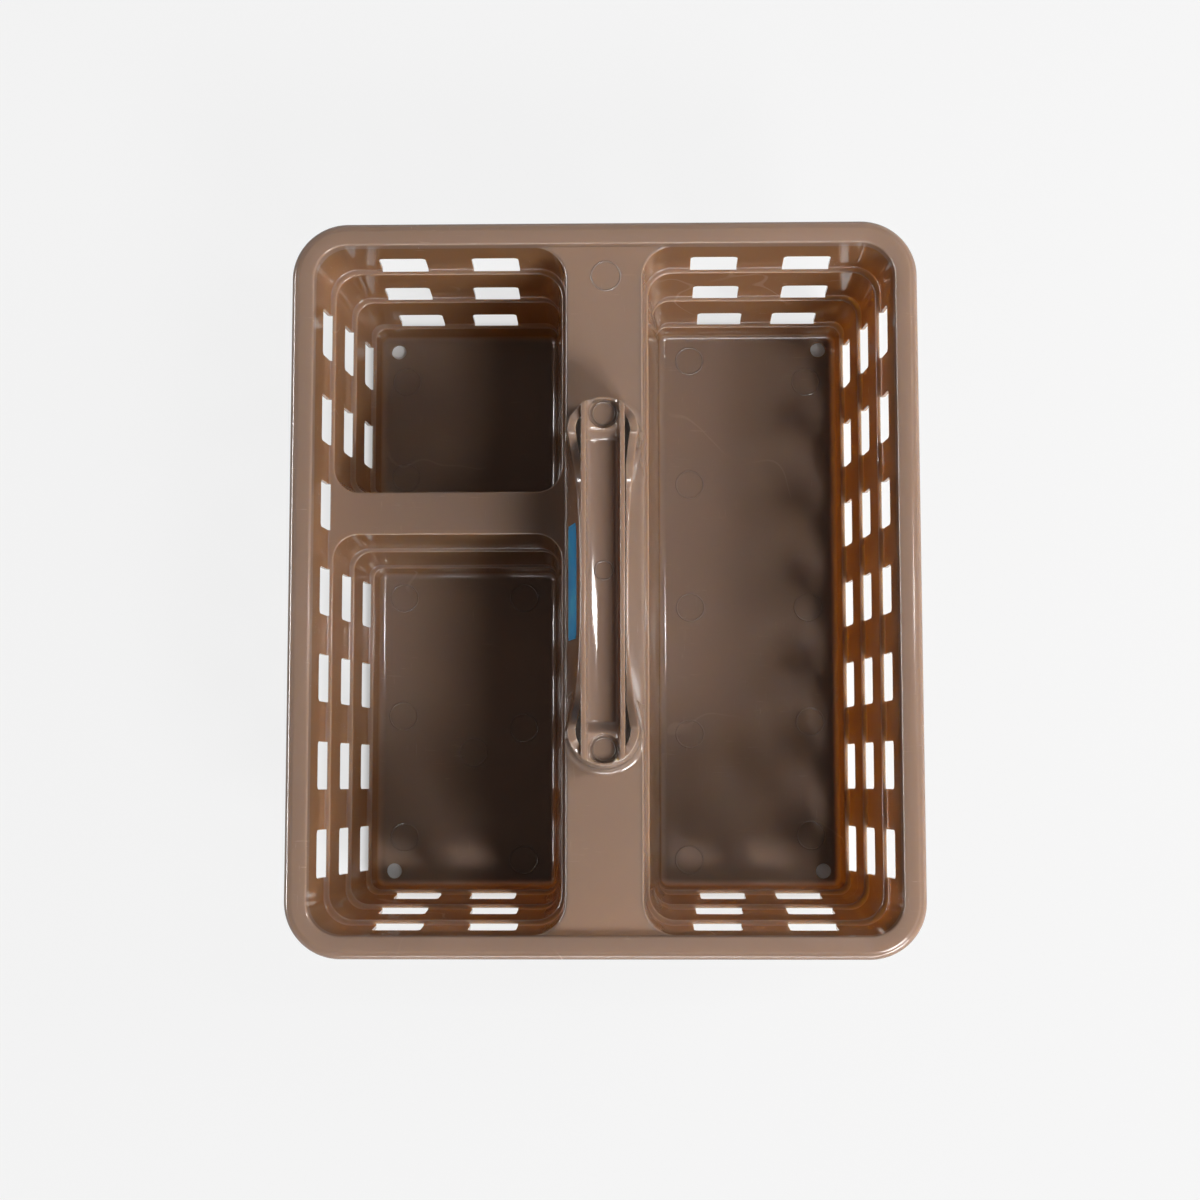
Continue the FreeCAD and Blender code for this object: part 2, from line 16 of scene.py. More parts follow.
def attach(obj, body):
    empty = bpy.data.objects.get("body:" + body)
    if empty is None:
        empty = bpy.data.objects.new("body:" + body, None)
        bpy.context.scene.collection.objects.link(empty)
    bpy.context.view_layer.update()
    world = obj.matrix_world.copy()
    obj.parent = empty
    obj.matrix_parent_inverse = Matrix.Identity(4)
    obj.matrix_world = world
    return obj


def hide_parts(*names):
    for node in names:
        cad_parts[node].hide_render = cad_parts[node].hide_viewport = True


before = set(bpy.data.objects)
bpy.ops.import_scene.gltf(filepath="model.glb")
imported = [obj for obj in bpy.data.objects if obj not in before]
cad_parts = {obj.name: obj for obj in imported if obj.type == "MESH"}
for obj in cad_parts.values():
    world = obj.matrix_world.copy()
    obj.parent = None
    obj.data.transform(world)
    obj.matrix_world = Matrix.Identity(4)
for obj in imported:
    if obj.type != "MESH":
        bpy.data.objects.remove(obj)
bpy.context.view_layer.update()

bl_info = {
    "name": "Cleaning Caddy",
    "version": (1, 0, 0),
    "blender": (4, 5, 0),
    "location": "View3D > Sidebar > Caddy",
    "description": "Builds a moulded three-compartment cleaning caddy and its studio",
    "category": "Object",
}


# ------------------------------------------------------------------ settings
def length(name, text, value):
    """A length setting in metres; value is in millimetres."""
    return FloatProperty(name=name, description=text, default=value / 1000.0,
                         unit="LENGTH", precision=5)


def colour(name, text, value):
    """A colour setting."""
    return FloatVectorProperty(name=name, description=text, subtype="COLOR", size=3,
                               min=0, max=1, default=value)


class CaddyBasket(bpy.types.PropertyGroup):
    """Sizes of the basket."""
    outer_width: length("Width", "Outside of the rim, side to side", 280.0)
    outer_length: length("Length", "Outside of the rim, front to rear", 327.0)
    crown: length("Rim height", "Crown of the rim above the ground", 117.5)
    wall: length("Wall", "Thickness of the walls", 1.6)
    floor: length("Floor", "Thickness of the tub floors", 2.0)
    rim_width: length("Rim width", "Outer edge to the mouth of the tubs", 10.0)
    rim_corner: length("Rim corner", "Outer corner radius", 25.0)
    rim_skirt: length("Rim skirt", "Depth of the rim's lower edge", 9.0)
    deck_depth: length("Deck depth", "Spine deck below the crown of the rim", 4.5)
    step_depth: length("First step", "Depth of the first ledge", 33.7)
    step_pitch: length("Step pitch", "One ledge to the next", 33.4)
    ledge: length("Ledge", "Width of a ledge", 2.6)
    cove: length("Cove", "Radius between wall and floor", 3.4)
    draft: FloatProperty(name="Draft", description="Slope of the tub walls",
                         default=math.radians(4.0), subtype="ANGLE")
    divider_centre: length("Divider centre", "Middle of the divider, from mid length", 36.5)
    divider_width: length("Divider width", "Width of the divider's deck", 19.7)
    window_length: length("Window length", "Length of each window", 21.5)
    window_height: length("Window height", "Height of each window", 14.5)
    window_pitch: length("Window pitch", "Pitch of the side windows", 39.6)


class CaddyHandle(bpy.types.PropertyGroup):
    """Sizes of the spine, the posts and the grip."""
    spine_half: length("Spine half width", "Half width of the spine at its deck", 17.3)
    waist_half: length("Waist", "Half width of the finger edges at mid length", 10.8)
    waist_depth: length("Waist depth", "Depth of the finger edges at mid length", 5.5)
    band: length("Finger edge", "Widest inward turn of the finger edges", 3.6)
    post_centre: length("Post centre", "Axis of each post, from mid length", 64.4)
    post_top: length("Post top", "Radius of the posts at the top", 15.4)
    post_foot: length("Post foot", "Radius of the posts at the deck", 16.7)
    post_rise: length("Post rise", "Top of the posts above the crown of the rim", 24.0)
    post_dip: length("Post dip", "How far the top of a post dips behind the grip", 3.2)
    grip_half: length("Grip half width", "Half width of the grip", 9.5)
    grip_wall: length("Grip wall", "Thickness of the grip's side walls", 2.1)
    grip_depth: length("Grip depth", "Depth of the trough in the grip", 8.6)
    end_depth: length("End depth", "Depth of the shallow ends of the trough", 3.6)
    cup_place: length("Cup place", "Middle of each round cup, from mid length", 72.8)
    cup_radius: length("Cup radius", "Radius of the round cups at the ends of the grip", 6.85)
    cup_depth: length("Cup depth", "Depth of the cups below the top of the grip", 6.0)


class CaddyFinish(bpy.types.PropertyGroup):
    """Colours and finish of the caddy and its studio."""
    plastic: colour("Plastic", "Colour of the moulding", (0.230, 0.154, 0.114))
    # Painted light and shade: standing walls are mixed towards this darker, more orange colour in
    # place of the light that shines through the thin plastic and the shade on those walls.
    painted_glow_and_shade: colour("Glow", "Colour that the thin plastic takes on inside", (0.195, 0.098, 0.042))
    film: colour("Label", "Colour of the blank label", (0.030, 0.430, 0.920))
    ground: colour("Ground", "Colour of the pale floor", (0.78, 0.78, 0.78))
    wear: FloatProperty(name="Wear", description="Amount of scuffs and smudges",
                        default=1.0, min=0, max=2)


class Form:
    """Sizes that the surfaces share, in millimetres, with Z measured from the ground.

    Tier 0 of a tub is its wall above the first ledge, and tier 3 the wall down to the floor.
    """

    def __init__(self):
        scene = bpy.context.scene
        for group in (scene.caddy_basket, scene.caddy_handle):
            for name in group.__annotations__:
                scale = 1.0 if name == "draft" else 1000.0
                setattr(self, name, getattr(group, name) * scale)
        self.slope = math.tan(self.draft)
        self.spine_slope = math.tan(math.radians(1.4))
        self.spine_ledge = 2.0
        self.divider_ledge = 1.8
        self.ledge_corner = 1.0
        self.hollow = 0.8
        self.window_round = 2.0
        self.deck_round = 1.0
        self.post_fillet = 4.0
        self.drain_radius, self.drain_x, self.drain_y = 3.7, 11.6, 10.6
        self.grip_middle = 0.3
        self.floor_depth = self.crown - self.floor
        self.steps = [self.step_depth + self.step_pitch * i for i in range(3)]
        self.spine_foot = self.spine_half + self.spine_slope * (self.step_depth - self.deck_depth)
        self.deck_z = self.crown - self.deck_depth
        self.ledge_z = self.crown - self.step_depth
        self.top_z = self.crown + self.post_rise
        self.straight_end = self.outer_length / 2 - self.rim_corner

    def outer_inset(self, depth, tier):
        return self.rim_width + self.slope * depth + self.ledge * tier

    def spine_side(self, depth, tier):
        if tier == 0:
            return self.spine_half + self.spine_slope * (depth - self.deck_depth)
        return self.spine_foot + self.spine_ledge + self.slope * (depth - self.step_depth)

    def divider_side(self, depth, tier):
        run = self.slope * (depth - self.step_depth)
        return self.divider_width / 2 + run + self.divider_ledge * (tier - 1)

    def corner(self, depth, tier):
        return self.rim_corner - self.rim_width - self.slope * depth - self.ledge_corner * tier

    def section(self, tub, depth, tier):
        """Tub outline at a depth: x0, x1, y0, y1 and the radii at SE, NE, NW and SW.

        Above the divider, in tier 0, the two left tubs run on into each other.
        """
        side = self.outer_width / 2 - self.outer_inset(depth, tier)
        end = self.outer_length / 2 - self.outer_inset(depth, tier)
        near = self.spine_side(depth, tier)
        r = self.corner(depth, tier)
        gap, shared = (self.divider_side(depth, tier), r) if tier else (0.0, 0.0)
        x0, x1 = (near, side) if tub == "right" else (-side, -near)
        if tub == "rear_left":
            return np.array([x0, x1, self.divider_centre + gap, end, shared, r, r, shared])
        if tub == "front_left":
            return np.array([x0, x1, -end, self.divider_centre - gap, r, shared, shared, r])
        return np.array([x0, x1, -end, end, r, r, r, r])


# the way in which each value of an outline, four sides and four corners, moves as it grows
FACING = np.array([-1.0, 1.0, -1.0, 1.0, 1.0, 1.0, 1.0, 1.0])


def grown(section, grow, still=()):
    """Outline grown outwards; the sides and corners listed in still keep their place."""
    change = FACING * grow
    change[list(still)] = 0.0
    moved = section + change
    moved[4:] = np.maximum(moved[4:], 0.0)
    return moved


def quarter(count):
    """Pairs (1 - cos a, 1 - sin a) for angles a spread over a quarter turn."""
    angle = np.linspace(0.0, math.pi / 2, count)
    return np.column_stack([1 - np.cos(angle), 1 - np.sin(angle)])


def smooth(value, low, high):
    """Smooth step s^2 (3 - 2 s) of a value's share s of the way from low to high."""
    share = np.clip((value - low) / (high - low), 0.0, 1.0)
    return share * share * (3 - 2 * share)


# ------------------------------------------------------------------ meshes
# distances in metres within which a piece's own points, and those of welded pieces, become one
MERGE, WELD = 0.000002, 0.00001
# the angles past which an edge stays sharp
SHARP, GRIP_SHARP = math.radians(38), math.radians(60)
# steps in the quarter turn of a tub's corner, of the rim's corner and of a window's corner
CORNER_STEPS, RIM_STEPS, WINDOW_STEPS = 12, 26, 4


def ring(section, stops, arc):
    """Points round a rounded rectangle, anticlockwise from the foot of its +X side.

    Each straight side holds its two tangent points and its own fixed stops, held within
    them, and each corner holds arc - 1 points between.
    """
    x0, x1, y0, y1, se, ne, nw, sw = section
    turn = np.linspace(0.0, math.pi / 2, arc + 1)[1:-1]
    sides = ((1, x1, y0 + se, y1 - ne, stops["E"], x1 - ne, y1 - ne, ne),
             (0, y1, x1 - ne, x0 + nw, stops["N"][::-1], x0 + nw, y1 - nw, nw),
             (1, x0, y1 - nw, y0 + sw, stops["W"][::-1], x0 + sw, y0 + sw, sw),
             (0, y0, x0 + sw, x1 - se, stops["S"], x1 - se, y0 + se, se))
    parts = []
    for number, (axis, across, start, end, inner, cx, cy, r) in enumerate(sides):
        inner = np.clip(np.array(inner, float), min(start, end), max(start, end))
        line = np.full((len(inner) + 2, 2), across)
        line[:, axis] = np.concatenate(([start], inner, [end]))
        sweep = turn + number * math.pi / 2
        parts += [line, np.column_stack([cx + r * np.cos(sweep), cy + r * np.sin(sweep)])]
    return np.concatenate(parts)


def level(flat, height):
    """Points with one more coordinate, the same for all."""
    return np.column_stack([flat, np.full(len(flat), height)])


def stacked(sections, heights, stops, arc):
    """Grid (round, down, 3) of outlines, each at its own height."""
    return np.stack([level(ring(section, stops, arc), z)
                     for section, z in zip(sections, heights)], axis=1)


def side_index(stops, arc):
    """First and last index of each straight side in a ring, and the ring's count."""
    places, start = {}, 0
    for side in "ENWS":
        count = len(stops[side]) + 2
        places[side] = (start, start + count - 1)
        start += count + arc - 1
    return places, start


class ShellMesh:
    """Closed shell between a visible grid and its back, both (along, across, 3) arrays.

    A quad runs (i, j), (i+1, j), (i+1, j+1), (i, j+1).  Quads that keep drops leave
    openings, whose edges are joined to the back, except between the points that bare
    marks, where the plastic runs on into the next piece.
    """

    def __init__(self, front, back, keep=None, closed=False, bare=None):
        self.along, self.across = front.shape[:2]
        rows = self.along if closed else self.along - 1
        keep = np.ones((rows, self.across - 1), bool) if keep is None else keep
        i, j = np.nonzero(keep)
        a, b = i * self.across + j, ((i + 1) % self.along) * self.across + j
        self.quads = np.stack([a, b, b + 1, a + 1], axis=1)
        padded = np.pad(keep, 1)
        if closed:
            padded[0, 1:-1], padded[-1, 1:-1] = keep[-1], keep[0]
        beyond = (((0, -1), (0, 1)), ((1, 0), (1, 2)), ((0, 1), (2, 3)), ((-1, 0), (3, 0)))
        self.edges = np.concatenate([self.quads[~padded[i + 1 + di, j + 1 + dj]][:, ends]
                                     for (di, dj), ends in beyond])
        if bare is not None:
            self.edges = self.edges[~bare.ravel()[self.edges].all(axis=1)]
        self.front, self.back = [front.reshape(-1, 3)], [back.reshape(-1, 3)]
        self.corners = []

    def index(self, i, j):
        return (i % self.along) * self.across + j

    def add_corner(self, path, start, corner, end):
        """Fills the corner of an opening outside a quarter arc from start to end.

        path lists the grid points of the corner in face order, from the arc's end to its
        start; start and end are the grid points on the two edges that leave the corner.
        """
        over, down = quarter(WINDOW_STEPS + 1)[1:-1].T[:, :, None]
        for store in (self.front, self.back):
            at = store[0][corner]
            store.append(at + (store[0][start] - at) * down + (store[0][end] - at) * over)
        self.corners.append(path)

    def build(self, name):
        front, back = np.concatenate(self.front), np.concatenate(self.back)
        total = len(front)
        faces = self.quads.tolist() + (self.quads[:, ::-1] + total).tolist()
        edges = set(map(tuple, self.edges.tolist()))
        first = self.along * self.across
        for path in self.corners:
            arc = list(range(first, first + WINDOW_STEPS - 1))
            first += len(arc)
            loop = path + arc
            faces += [loop, [index + total for index in reversed(loop)]]
            edges.difference_update(zip(path[1:], path[:-1]))
            outline = [path[-1]] + arc + [path[0]]
            edges.update(zip(outline[:-1], outline[1:]))
        faces += [(q, p, p + total, q + total) for p, q in edges]
        return mesh_object(name, np.concatenate([front, back]), faces)


def mesh_object(name, points, faces):
    """New object from points, with its doubles merged and its slivers removed."""
    mesh = bpy.data.meshes.new(name)
    mesh.from_pydata((points / 1000.0).tolist(), [], faces)
    work = bmesh.new()
    work.from_mesh(mesh)
    bmesh.ops.remove_doubles(work, verts=work.verts, dist=MERGE)
    bmesh.ops.dissolve_degenerate(work, edges=work.edges, dist=MERGE / 2)
    bmesh.ops.recalc_face_normals(work, faces=work.faces)
    work.to_mesh(mesh)
    work.free()
    return link_mesh(name, mesh)


def place_object(name, data):
    made = bpy.data.objects.new(name, data)
    bpy.context.scene.collection.objects.link(made)
    return made


def link_mesh(name, mesh):
    """Links a mesh as an object in which the wide faces set the shading of their rounds."""
    mesh.set_sharp_from_angle(angle=SHARP)
    piece = place_object(name, mesh)
    even = piece.modifiers.new("even_normals", "WEIGHTED_NORMAL")
    even.keep_sharp = True
    even.weight = 60
    return piece


def loop_tube(name, grid, closed):
    """Closed skin of a ring of sections (along, round, 3); open ends are capped."""
    along, around = grid.shape[:2]
    i, j = np.divmod(np.arange((along if closed else along - 1) * around), around)
    here, after, beside = i * around, (i + 1) % along * around, (j + 1) % around
    faces = np.stack([here + j, after + j, after + beside, here + beside], axis=1).tolist()
    if not closed:
        last = along * around - 1
        faces += [list(range(around)), list(range(last, last - around, -1))]
    return mesh_object(name, grid.reshape(-1, 3), faces)


def join(name, pieces, welded=False):
    """One object from several pieces of the same moulding.

    Welded pieces are open where they meet and close only together; the others are closed
    already.
    """
    work = bmesh.new()
    for piece in pieces:
        work.from_mesh(piece.data)
    for piece in pieces:
        bpy.data.objects.remove(piece)
    if welded:
        bmesh.ops.remove_doubles(work, verts=work.verts, dist=WELD)
        loose = [edge for edge in work.edges if not edge.link_faces]
        bmesh.ops.delete(work, geom=loose, context="EDGES")
        bmesh.ops.recalc_face_normals(work, faces=work.faces)
    mesh = bpy.data.meshes.new(name)
    work.to_mesh(mesh)
    work.free()
    return link_mesh(name, mesh)


def mirrored(piece, x, y):
    """Turns a piece's mesh over to the other side or end, faces still outwards."""
    work = bmesh.new()
    work.from_mesh(piece.data)
    bmesh.ops.scale(work, vec=(x, y, 1), verts=work.verts)
    bmesh.ops.recalc_face_normals(work, faces=work.faces)
    work.to_mesh(piece.data)
    work.free()
    return piece


# ------------------------------------------------------------------ tubs
OUTER_SIDE = {"right": "E", "rear_left": "W", "front_left": "W"}
SPINE_SIDE = {"right": "W", "rear_left": "E", "front_left": "E"}
END_SIDES = {"right": "NS", "rear_left": "N", "front_left": "S"}
DIVIDER_SIDE = {"rear_left": "S", "front_left": "N"}
# what keeps its place over the divider: the side and two corners, as places in an outline
DIVIDER_STILL = {"right": (), "rear_left": (2, 4, 7), "front_left": (3, 5, 6)}
SIDE_COLUMNS = 7
# middles of the two windows in each row of a compartment's end, from mid width
END_WINDOWS = ((50.3, 92.9), (52.3, 94.6), (55.4, 91.9))


def window_stops(form, tub):
    """Fixed stops on each side of a tub and the windows as (side, row, low, high).

    A window that the divider would cut is kept in the top row alone, as far as its middle.
    """
    half = form.window_length / 2
    first = form.divider_centre if tub == "rear_left" else -math.inf
    last = form.divider_centre if tub == "front_left" else math.inf
    windows = []
    for column in range(SIDE_COLUMNS):
        y = (column - SIDE_COLUMNS // 2) * form.window_pitch
        low, high = max(y - half, first), min(y + half, last)
        if low < high:
            cut = first in (low, high) or last in (low, high)
            windows += [(OUTER_SIDE[tub], row, low, high) for row in range(1 if cut else 3)]
    sign = 1 if tub == "right" else -1
    for side in END_SIDES[tub]:
        windows += [(side, row, sign * x - half, sign * x + half)
                    for row, pair in enumerate(END_WINDOWS) for x in pair]
    stops = {side: set() for side in "ENWS"}
    for side, row, low, high in windows:
        stops[side].update((low, low + form.window_round, high - form.window_round, high))
    return {side: sorted(values) for side, values in stops.items()}, windows


def tub_levels(form, tub):
    """Levels of a tub from its mouth to its floor, each as (front outline, front depth, back
    outline, back depth), and the places of the windows' tops and ledges among them.

    A wall falls with the draft, turns through a small hollow onto each ledge and over a small
    round into the next wall, and a cove leads to the floor.
    """
    wall, head, mouth = form.wall, form.deck_depth, form.deck_round
    hollow_back, turn, turn_back = 1.3, 0.7, 0.4
    still = DIVIDER_STILL[tub]
    levels, marks = [], {"lintel": [], "hollow": [], "ledge": []}
    for over, down in quarter(5):
        front = grown(form.section(tub, head + mouth * over, 0), mouth * down, still)
        back = grown(form.section(tub, head + wall, 0), wall, still)
        levels.append((front, head + mouth * over, back, head + wall))
    marks["mouth"] = len(levels) - 1
    for tier, bottom in enumerate(form.steps):
        fixed = () if tier else still
        lintel = bottom - form.window_height
        marks["lintel"].append(len(levels))
        for depth in (lintel, lintel + form.window_round):
            front = form.section(tub, depth, tier)
            levels.append((front, depth, grown(front, wall, fixed), depth))
        before = form.section(tub, bottom, tier)
        near, far = ledge_shares(form.section(tub, bottom, tier + 1) - before, form.ledge, fixed)
        marks["hollow"].append(len(levels))
        for over, down in quarter(5):
            depth, depth_back = bottom - form.hollow * down, bottom + wall - hollow_back * down
            front = form.section(tub, depth, tier) + near * form.hollow * over
            back = form.section(tub, depth_back, tier) + near * hollow_back * over
            levels.append((front, depth, grown(back, wall, fixed), depth_back))
        marks["ledge"].append(len(levels))
        back = grown(before + near * (form.ledge - turn_back), wall, fixed)
        levels.append((before + near * (form.ledge - wall), bottom, back, bottom + wall))
        for over, down in quarter(5):
            depth, depth_back = bottom + turn * over, bottom + wall + turn_back * over
            front = form.section(tub, depth, tier + 1) - far * turn * down
            back = form.section(tub, depth_back, tier + 1) - far * turn_back * down
            levels.append((front, depth, grown(back, wall), depth_back))
    bottom, last = form.floor_depth, len(form.steps)
    for over, down in quarter(8):
        depth = bottom - form.cove * down
        depth_back = bottom + form.floor - (form.cove + wall) * down
        front = grown(form.section(tub, depth, last), -form.cove * over)
        back = grown(form.section(tub, min(depth_back, bottom), last),
                     wall - (form.cove + wall) * over)
        levels.append((front, depth, back, depth_back))
    return levels, marks


def ledge_shares(step, ledge, fixed):
    """How far each side moves per millimetre of ledge, before the ledge's edge and beyond it.

    Before it the fixed sides, which meet over the divider, don't move; beyond it the
    divider's own sides move evenly with the rest.
    """
    near, far = step / ledge, step / ledge
    for index in fixed:
        near[index] = 0.0
        far[index] = math.copysign(1.0, step[index]) if index < 4 else -1.0
    return near, far


def tub_pieces(form, tub):
    """Walls and floor of one tub.  The walls are the grid of its levels less its windows, the
    side that the spine's flank makes and, on the left, the open side over the divider."""
    arc = CORNER_STEPS
    stops, windows = window_stops(form, tub)
    levels, marks = tub_levels(form, tub)
    fronts, depths, backs, back_depths = zip(*levels)
    front = stacked(fronts, form.crown - np.array(depths), stops, arc)
    back = stacked(backs, form.crown - np.array(back_depths), stops, arc)
    places, around = side_index(stops, arc)
    keep = np.ones((around, len(levels) - 1), bool)
    spine, centre = SPINE_SIDE[tub], form.divider_centre
    keep[slice(*places[spine]), :marks["hollow"][0]] = False
    hidden = np.ones(around, bool)
    for end in END_SIDES[tub]:
        # the corner follows whichever of the two sides comes first round the ring
        first = places[spine if spine + end in "ENWSE" else end][1]
        hidden[np.arange(first, first + arc) % around] = False
    keep[hidden, :marks["mouth"]] = False
    bare = np.zeros(front.shape[:2], bool)
    bare[:, -1] = True
    if tub in DIVIDER_SIDE:
        first, last = places[DIVIDER_SIDE[tub]]
        keep[np.arange(first - arc, last + arc) % around, :marks["ledge"][0] - 1] = False
        bare |= np.abs(front[:, :, 1] - centre) < 0.001
    corners = []
    for side, row, low, high in windows:
        order = stops[side][::-1] if side in "NW" else stops[side]
        start = places[side][0] + 1
        i0, i1 = sorted(start + order.index(value) for value in (low, high))
        top = marks["lintel"][row]
        if high == centre:
            i0 = places[side][0]
        else:
            corners.append((order, start, i0, 1, top))
        if low == centre:
            i1 = places[side][1]
        else:
            corners.append((order, start, i1, -1, top))
        keep[i0:i1, top:marks["ledge"][row]] = False
    walls = ShellMesh(front, back, keep, closed=True, bare=bare)
    for corner in corners:
        round_window(walls, form.window_round, *corner)
    floor = floor_plate(form, front[:, -1], drain_holes(form, tub))
    return [walls.build("tub"), floor]


def round_window(walls, radius, order, start, i, step, j):
    """Rounds one upper corner of a window: i is its edge, step points into the window, and
    order lists the stops of its side, of which the first stands at start."""
    here = i - start
    across = here
    while abs(order[across] - order[here]) < radius - 0.01:
        across += step
    top = [walls.index(start + k, j) for k in range(here, across + step, step)]
    low = walls.index(i, j + 1)
    if step > 0:
        walls.add_corner([low] + top, top[-1], top[0], low)
    else:
        walls.add_corner(top[::-1] + [low], low, top[0], top[-1])


def floor_plate(form, outline, holes):
    """Flat floor inside a tub's last ring of points, pierced by its drain holes."""
    turn = -np.linspace(0.0, 2 * math.pi, 33)[:-1]
    outlines = [outline[:, :2]]
    outlines += [np.column_stack([x + r * np.cos(turn), y + r * np.sin(turn)]) for x, y, r in holes]
    loops, first = [], 0
    for points in outlines:
        last = first + len(points)
        loops.append(list(zip(range(first, last), [*range(first + 1, last), first])))
        first = last
    flat = [Vector(point) for point in np.concatenate(outlines).tolist()]
    result = delaunay_2d_cdt(flat, sum(loops, []), [], 1, 1e-5)
    points = np.array([point[:] for point in result[0]])
    count = len(points)
    faces = []
    for face in result[2]:
        cx, cy = points[face].mean(axis=0)
        if all(math.hypot(cx - x, cy - y) > r * 0.99 for x, y, r in holes):
            faces.append(face)
    faces += [[index + count for index in reversed(face)] for face in faces]
    place = {old: new for new, olds in enumerate(result[3]) for old in olds}
    for a, b in sum(loops[1:], []):
        faces.append((place[a], place[b], place[b] + count, place[a] + count))
    top = level(points, outline[0, 2])
    return mesh_object("floor", np.concatenate([top, top - [0.0, 0.0, form.floor]]), faces)


def drain_holes(form, tub):
    """Drain holes in the outer corners of a tub's floor, as (x, y, radius)."""
    foot = form.outer_inset(form.floor_depth, 3) - form.cove
    x = form.outer_width / 2 - foot - form.drain_x
    y = form.outer_length / 2 - foot - form.drain_y
    return [(x if tub == "right" else -x, y if end == "N" else -y, form.drain_radius)
            for end in END_SIDES[tub]]


# ------------------------------------------------------------------ rim
def rim_outline(form):
    """Closed section of the lip as (inset, height above ground): a skirt, an outer round, a top
    that bows a little each way from its crown, and a small round down into the wall."""
    top, skirt = form.crown, form.crown - form.rim_skirt
    edge_r, lean, fall, turn, skin = 2.7, 0.35, 0.5, 0.9, 1.7
    crown = (form.rim_width - 1.8) / 2
    over, down = quarter(9).T
    share = np.linspace(0.0, 1.0, 7)[1:]
    low_edge = [[skin / 2, skirt], [0.35, skirt + 0.12], [0.0, skirt + 0.6]]
    outer = np.column_stack([edge_r * over, top - lean - edge_r * down])
    brow = np.column_stack([edge_r + (crown - edge_r) * share, top - lean * (1 - share) ** 2])
    edge = form.outer_inset(fall + turn, 0)
    run = edge - turn - crown
    inner = np.column_stack([crown + run * share, top - fall * share ** 2])
    tilt = math.pi / 2 - math.atan(2 * fall / run)
    sweep = np.linspace(tilt, 0.0, 8)[1:]
    round_ = turn / (1.0 - math.cos(tilt))
    bend = np.column_stack([edge - round_ * (1 - np.cos(sweep)),
                            top - fall - round_ * (math.sin(tilt) - np.sin(sweep))])
    low = form.deck_depth + form.deck_round
    foot = form.outer_inset(low, 0)
    wall = [[foot, top - low], [foot - form.wall, top - low], [foot - form.wall - 0.2, top - 4.0]]
    under = np.column_stack([crown - (crown - skin) * (1 - down), top - skin - 1.4 * over])
    back = [[skin, skirt + 0.5], [skin - 0.25, skirt]]
    return np.concatenate([low_edge, outer, brow, inner, bend, wall, under, back])


def make_rim(form):
    """Lip section carried round the rounded rectangle of the caddy's edge."""
    outline = rim_outline(form)
    wide, long_ = form.outer_width / 2, form.outer_length / 2
    edge = np.array([-wide, wide, -long_, long_] + [form.rim_corner] * 4)
    sections = [grown(edge, -inset) for inset in outline[:, 0]]
    grid = stacked(sections, outline[:, 1], dict.fromkeys("ENWS", []), RIM_STEPS)
    return loop_tube("rim_lip", grid, closed=True)


# ------------------------------------------------------------------ spine
def edge_height(form, y):
    """Height of the finger edge: low at mid length, climbing by s^10 (11 - 10 s), which levels
    out where it meets the post tops."""
    share = np.abs(y) / form.post_centre
    low = form.crown - form.waist_depth
    return low + (form.top_z - low) * share ** 10 * (11 - 10 * share)


def edge_reach(form, y):
    """Half width of the hourglass of the finger edges."""
    share = np.abs(y) / form.post_centre
    return form.waist_half + (form.post_top - form.waist_half) * share ** 3


def leaning(form, y, z):
    """Half width of the spine where its flank leans from the ledge to the finger edge, for a
    grid of heights z with a row for each y."""
    reach, edge = edge_reach(form, y)[:, None], edge_height(form, y)[:, None]
    return form.spine_foot + (reach - form.spine_foot) * (z - form.ledge_z) / (edge - form.ledge_z)


def deck_height(form, x, y):
    """Deck level with the hollow round that rises to the post's foot."""
    away = np.hypot(x, np.abs(y) - form.post_centre) - form.post_foot
    near = form.post_fillet - np.clip(away, 0.0, form.post_fillet)
    return form.deck_z + form.post_fillet - np.sqrt(form.post_fillet ** 2 - near ** 2)


def walled(x, z, top, round_, wall, thick, count):
    """Front and back of a wall with a round along its top, as grids of (x, z)."""
    over, down = quarter(count)[1:].T
    head, top = x[:, -1:], top[:, None]
    front_x = np.hstack([x, head - round_ * over])
    front_z = np.hstack([z, top - round_ * down])
    back_x = np.hstack([x, np.repeat(head, len(over), axis=1)]) - wall
    return (np.dstack([front_x, front_z]),
            np.dstack([back_x, np.minimum(front_z, top - thick)]))


def along_y(y, profile):
    """Grid (along, across, 3) of a profile of (x, z) for each y."""
    return np.dstack(np.broadcast_arrays(profile[:, :, 0], y[:, None], profile[:, :, 1]))


def flank_middle(form):
    """Right flank between the posts: leaning wall, rounded edge and inward-turned band.  Near
    each post the wall swells outwards a little above the deck."""
    round_, thick, tip_round = 0.9, 1.8, 0.5
    swell, swell_start, swell_rise, swell_fade = 0.65, 40.0, 2.2, 4.0
    y = form.post_centre * np.sin(np.linspace(-math.pi / 2, math.pi / 2, 97))
    edge = edge_height(form, y)
    foot_z, swell_z = form.ledge_z + form.hollow, form.deck_z + swell_rise
    z = foot_z + (edge - round_ - foot_z)[:, None] * np.linspace(0.0, 1.0, 25)
    below = np.clip((z - foot_z) / (swell_z - foot_z), 0.0, 1.0)
    above = np.clip(1 - (z - swell_z) / swell_fade, 0.0, 1.0) ** 2
    near = smooth(np.abs(y), swell_start, form.post_centre)[:, None]
    x = leaning(form, y, z) + swell * near * np.where(z < swell_z, below, above)
    front, back = walled(x, z, edge, round_, form.wall, thick, 6)
    reach = edge_reach(form, y)
    tip = (reach - np.minimum(form.band, reach - form.grip_half - 0.1))[:, None]
    over, down = quarter(6).T
    turn = np.dstack([tip + tip_round * down, edge[:, None] - tip_round * over])
    under = np.dstack(np.broadcast_arrays(np.repeat(tip, len(over), axis=1),
                                          edge[:, None] - thick))
    under[:, 0, 0] = np.minimum(turn[:, 0, 0], back[:, -1, 0])
    return ShellMesh(along_y(y, np.hstack([front, turn])), along_y(y, np.hstack([back, under])))


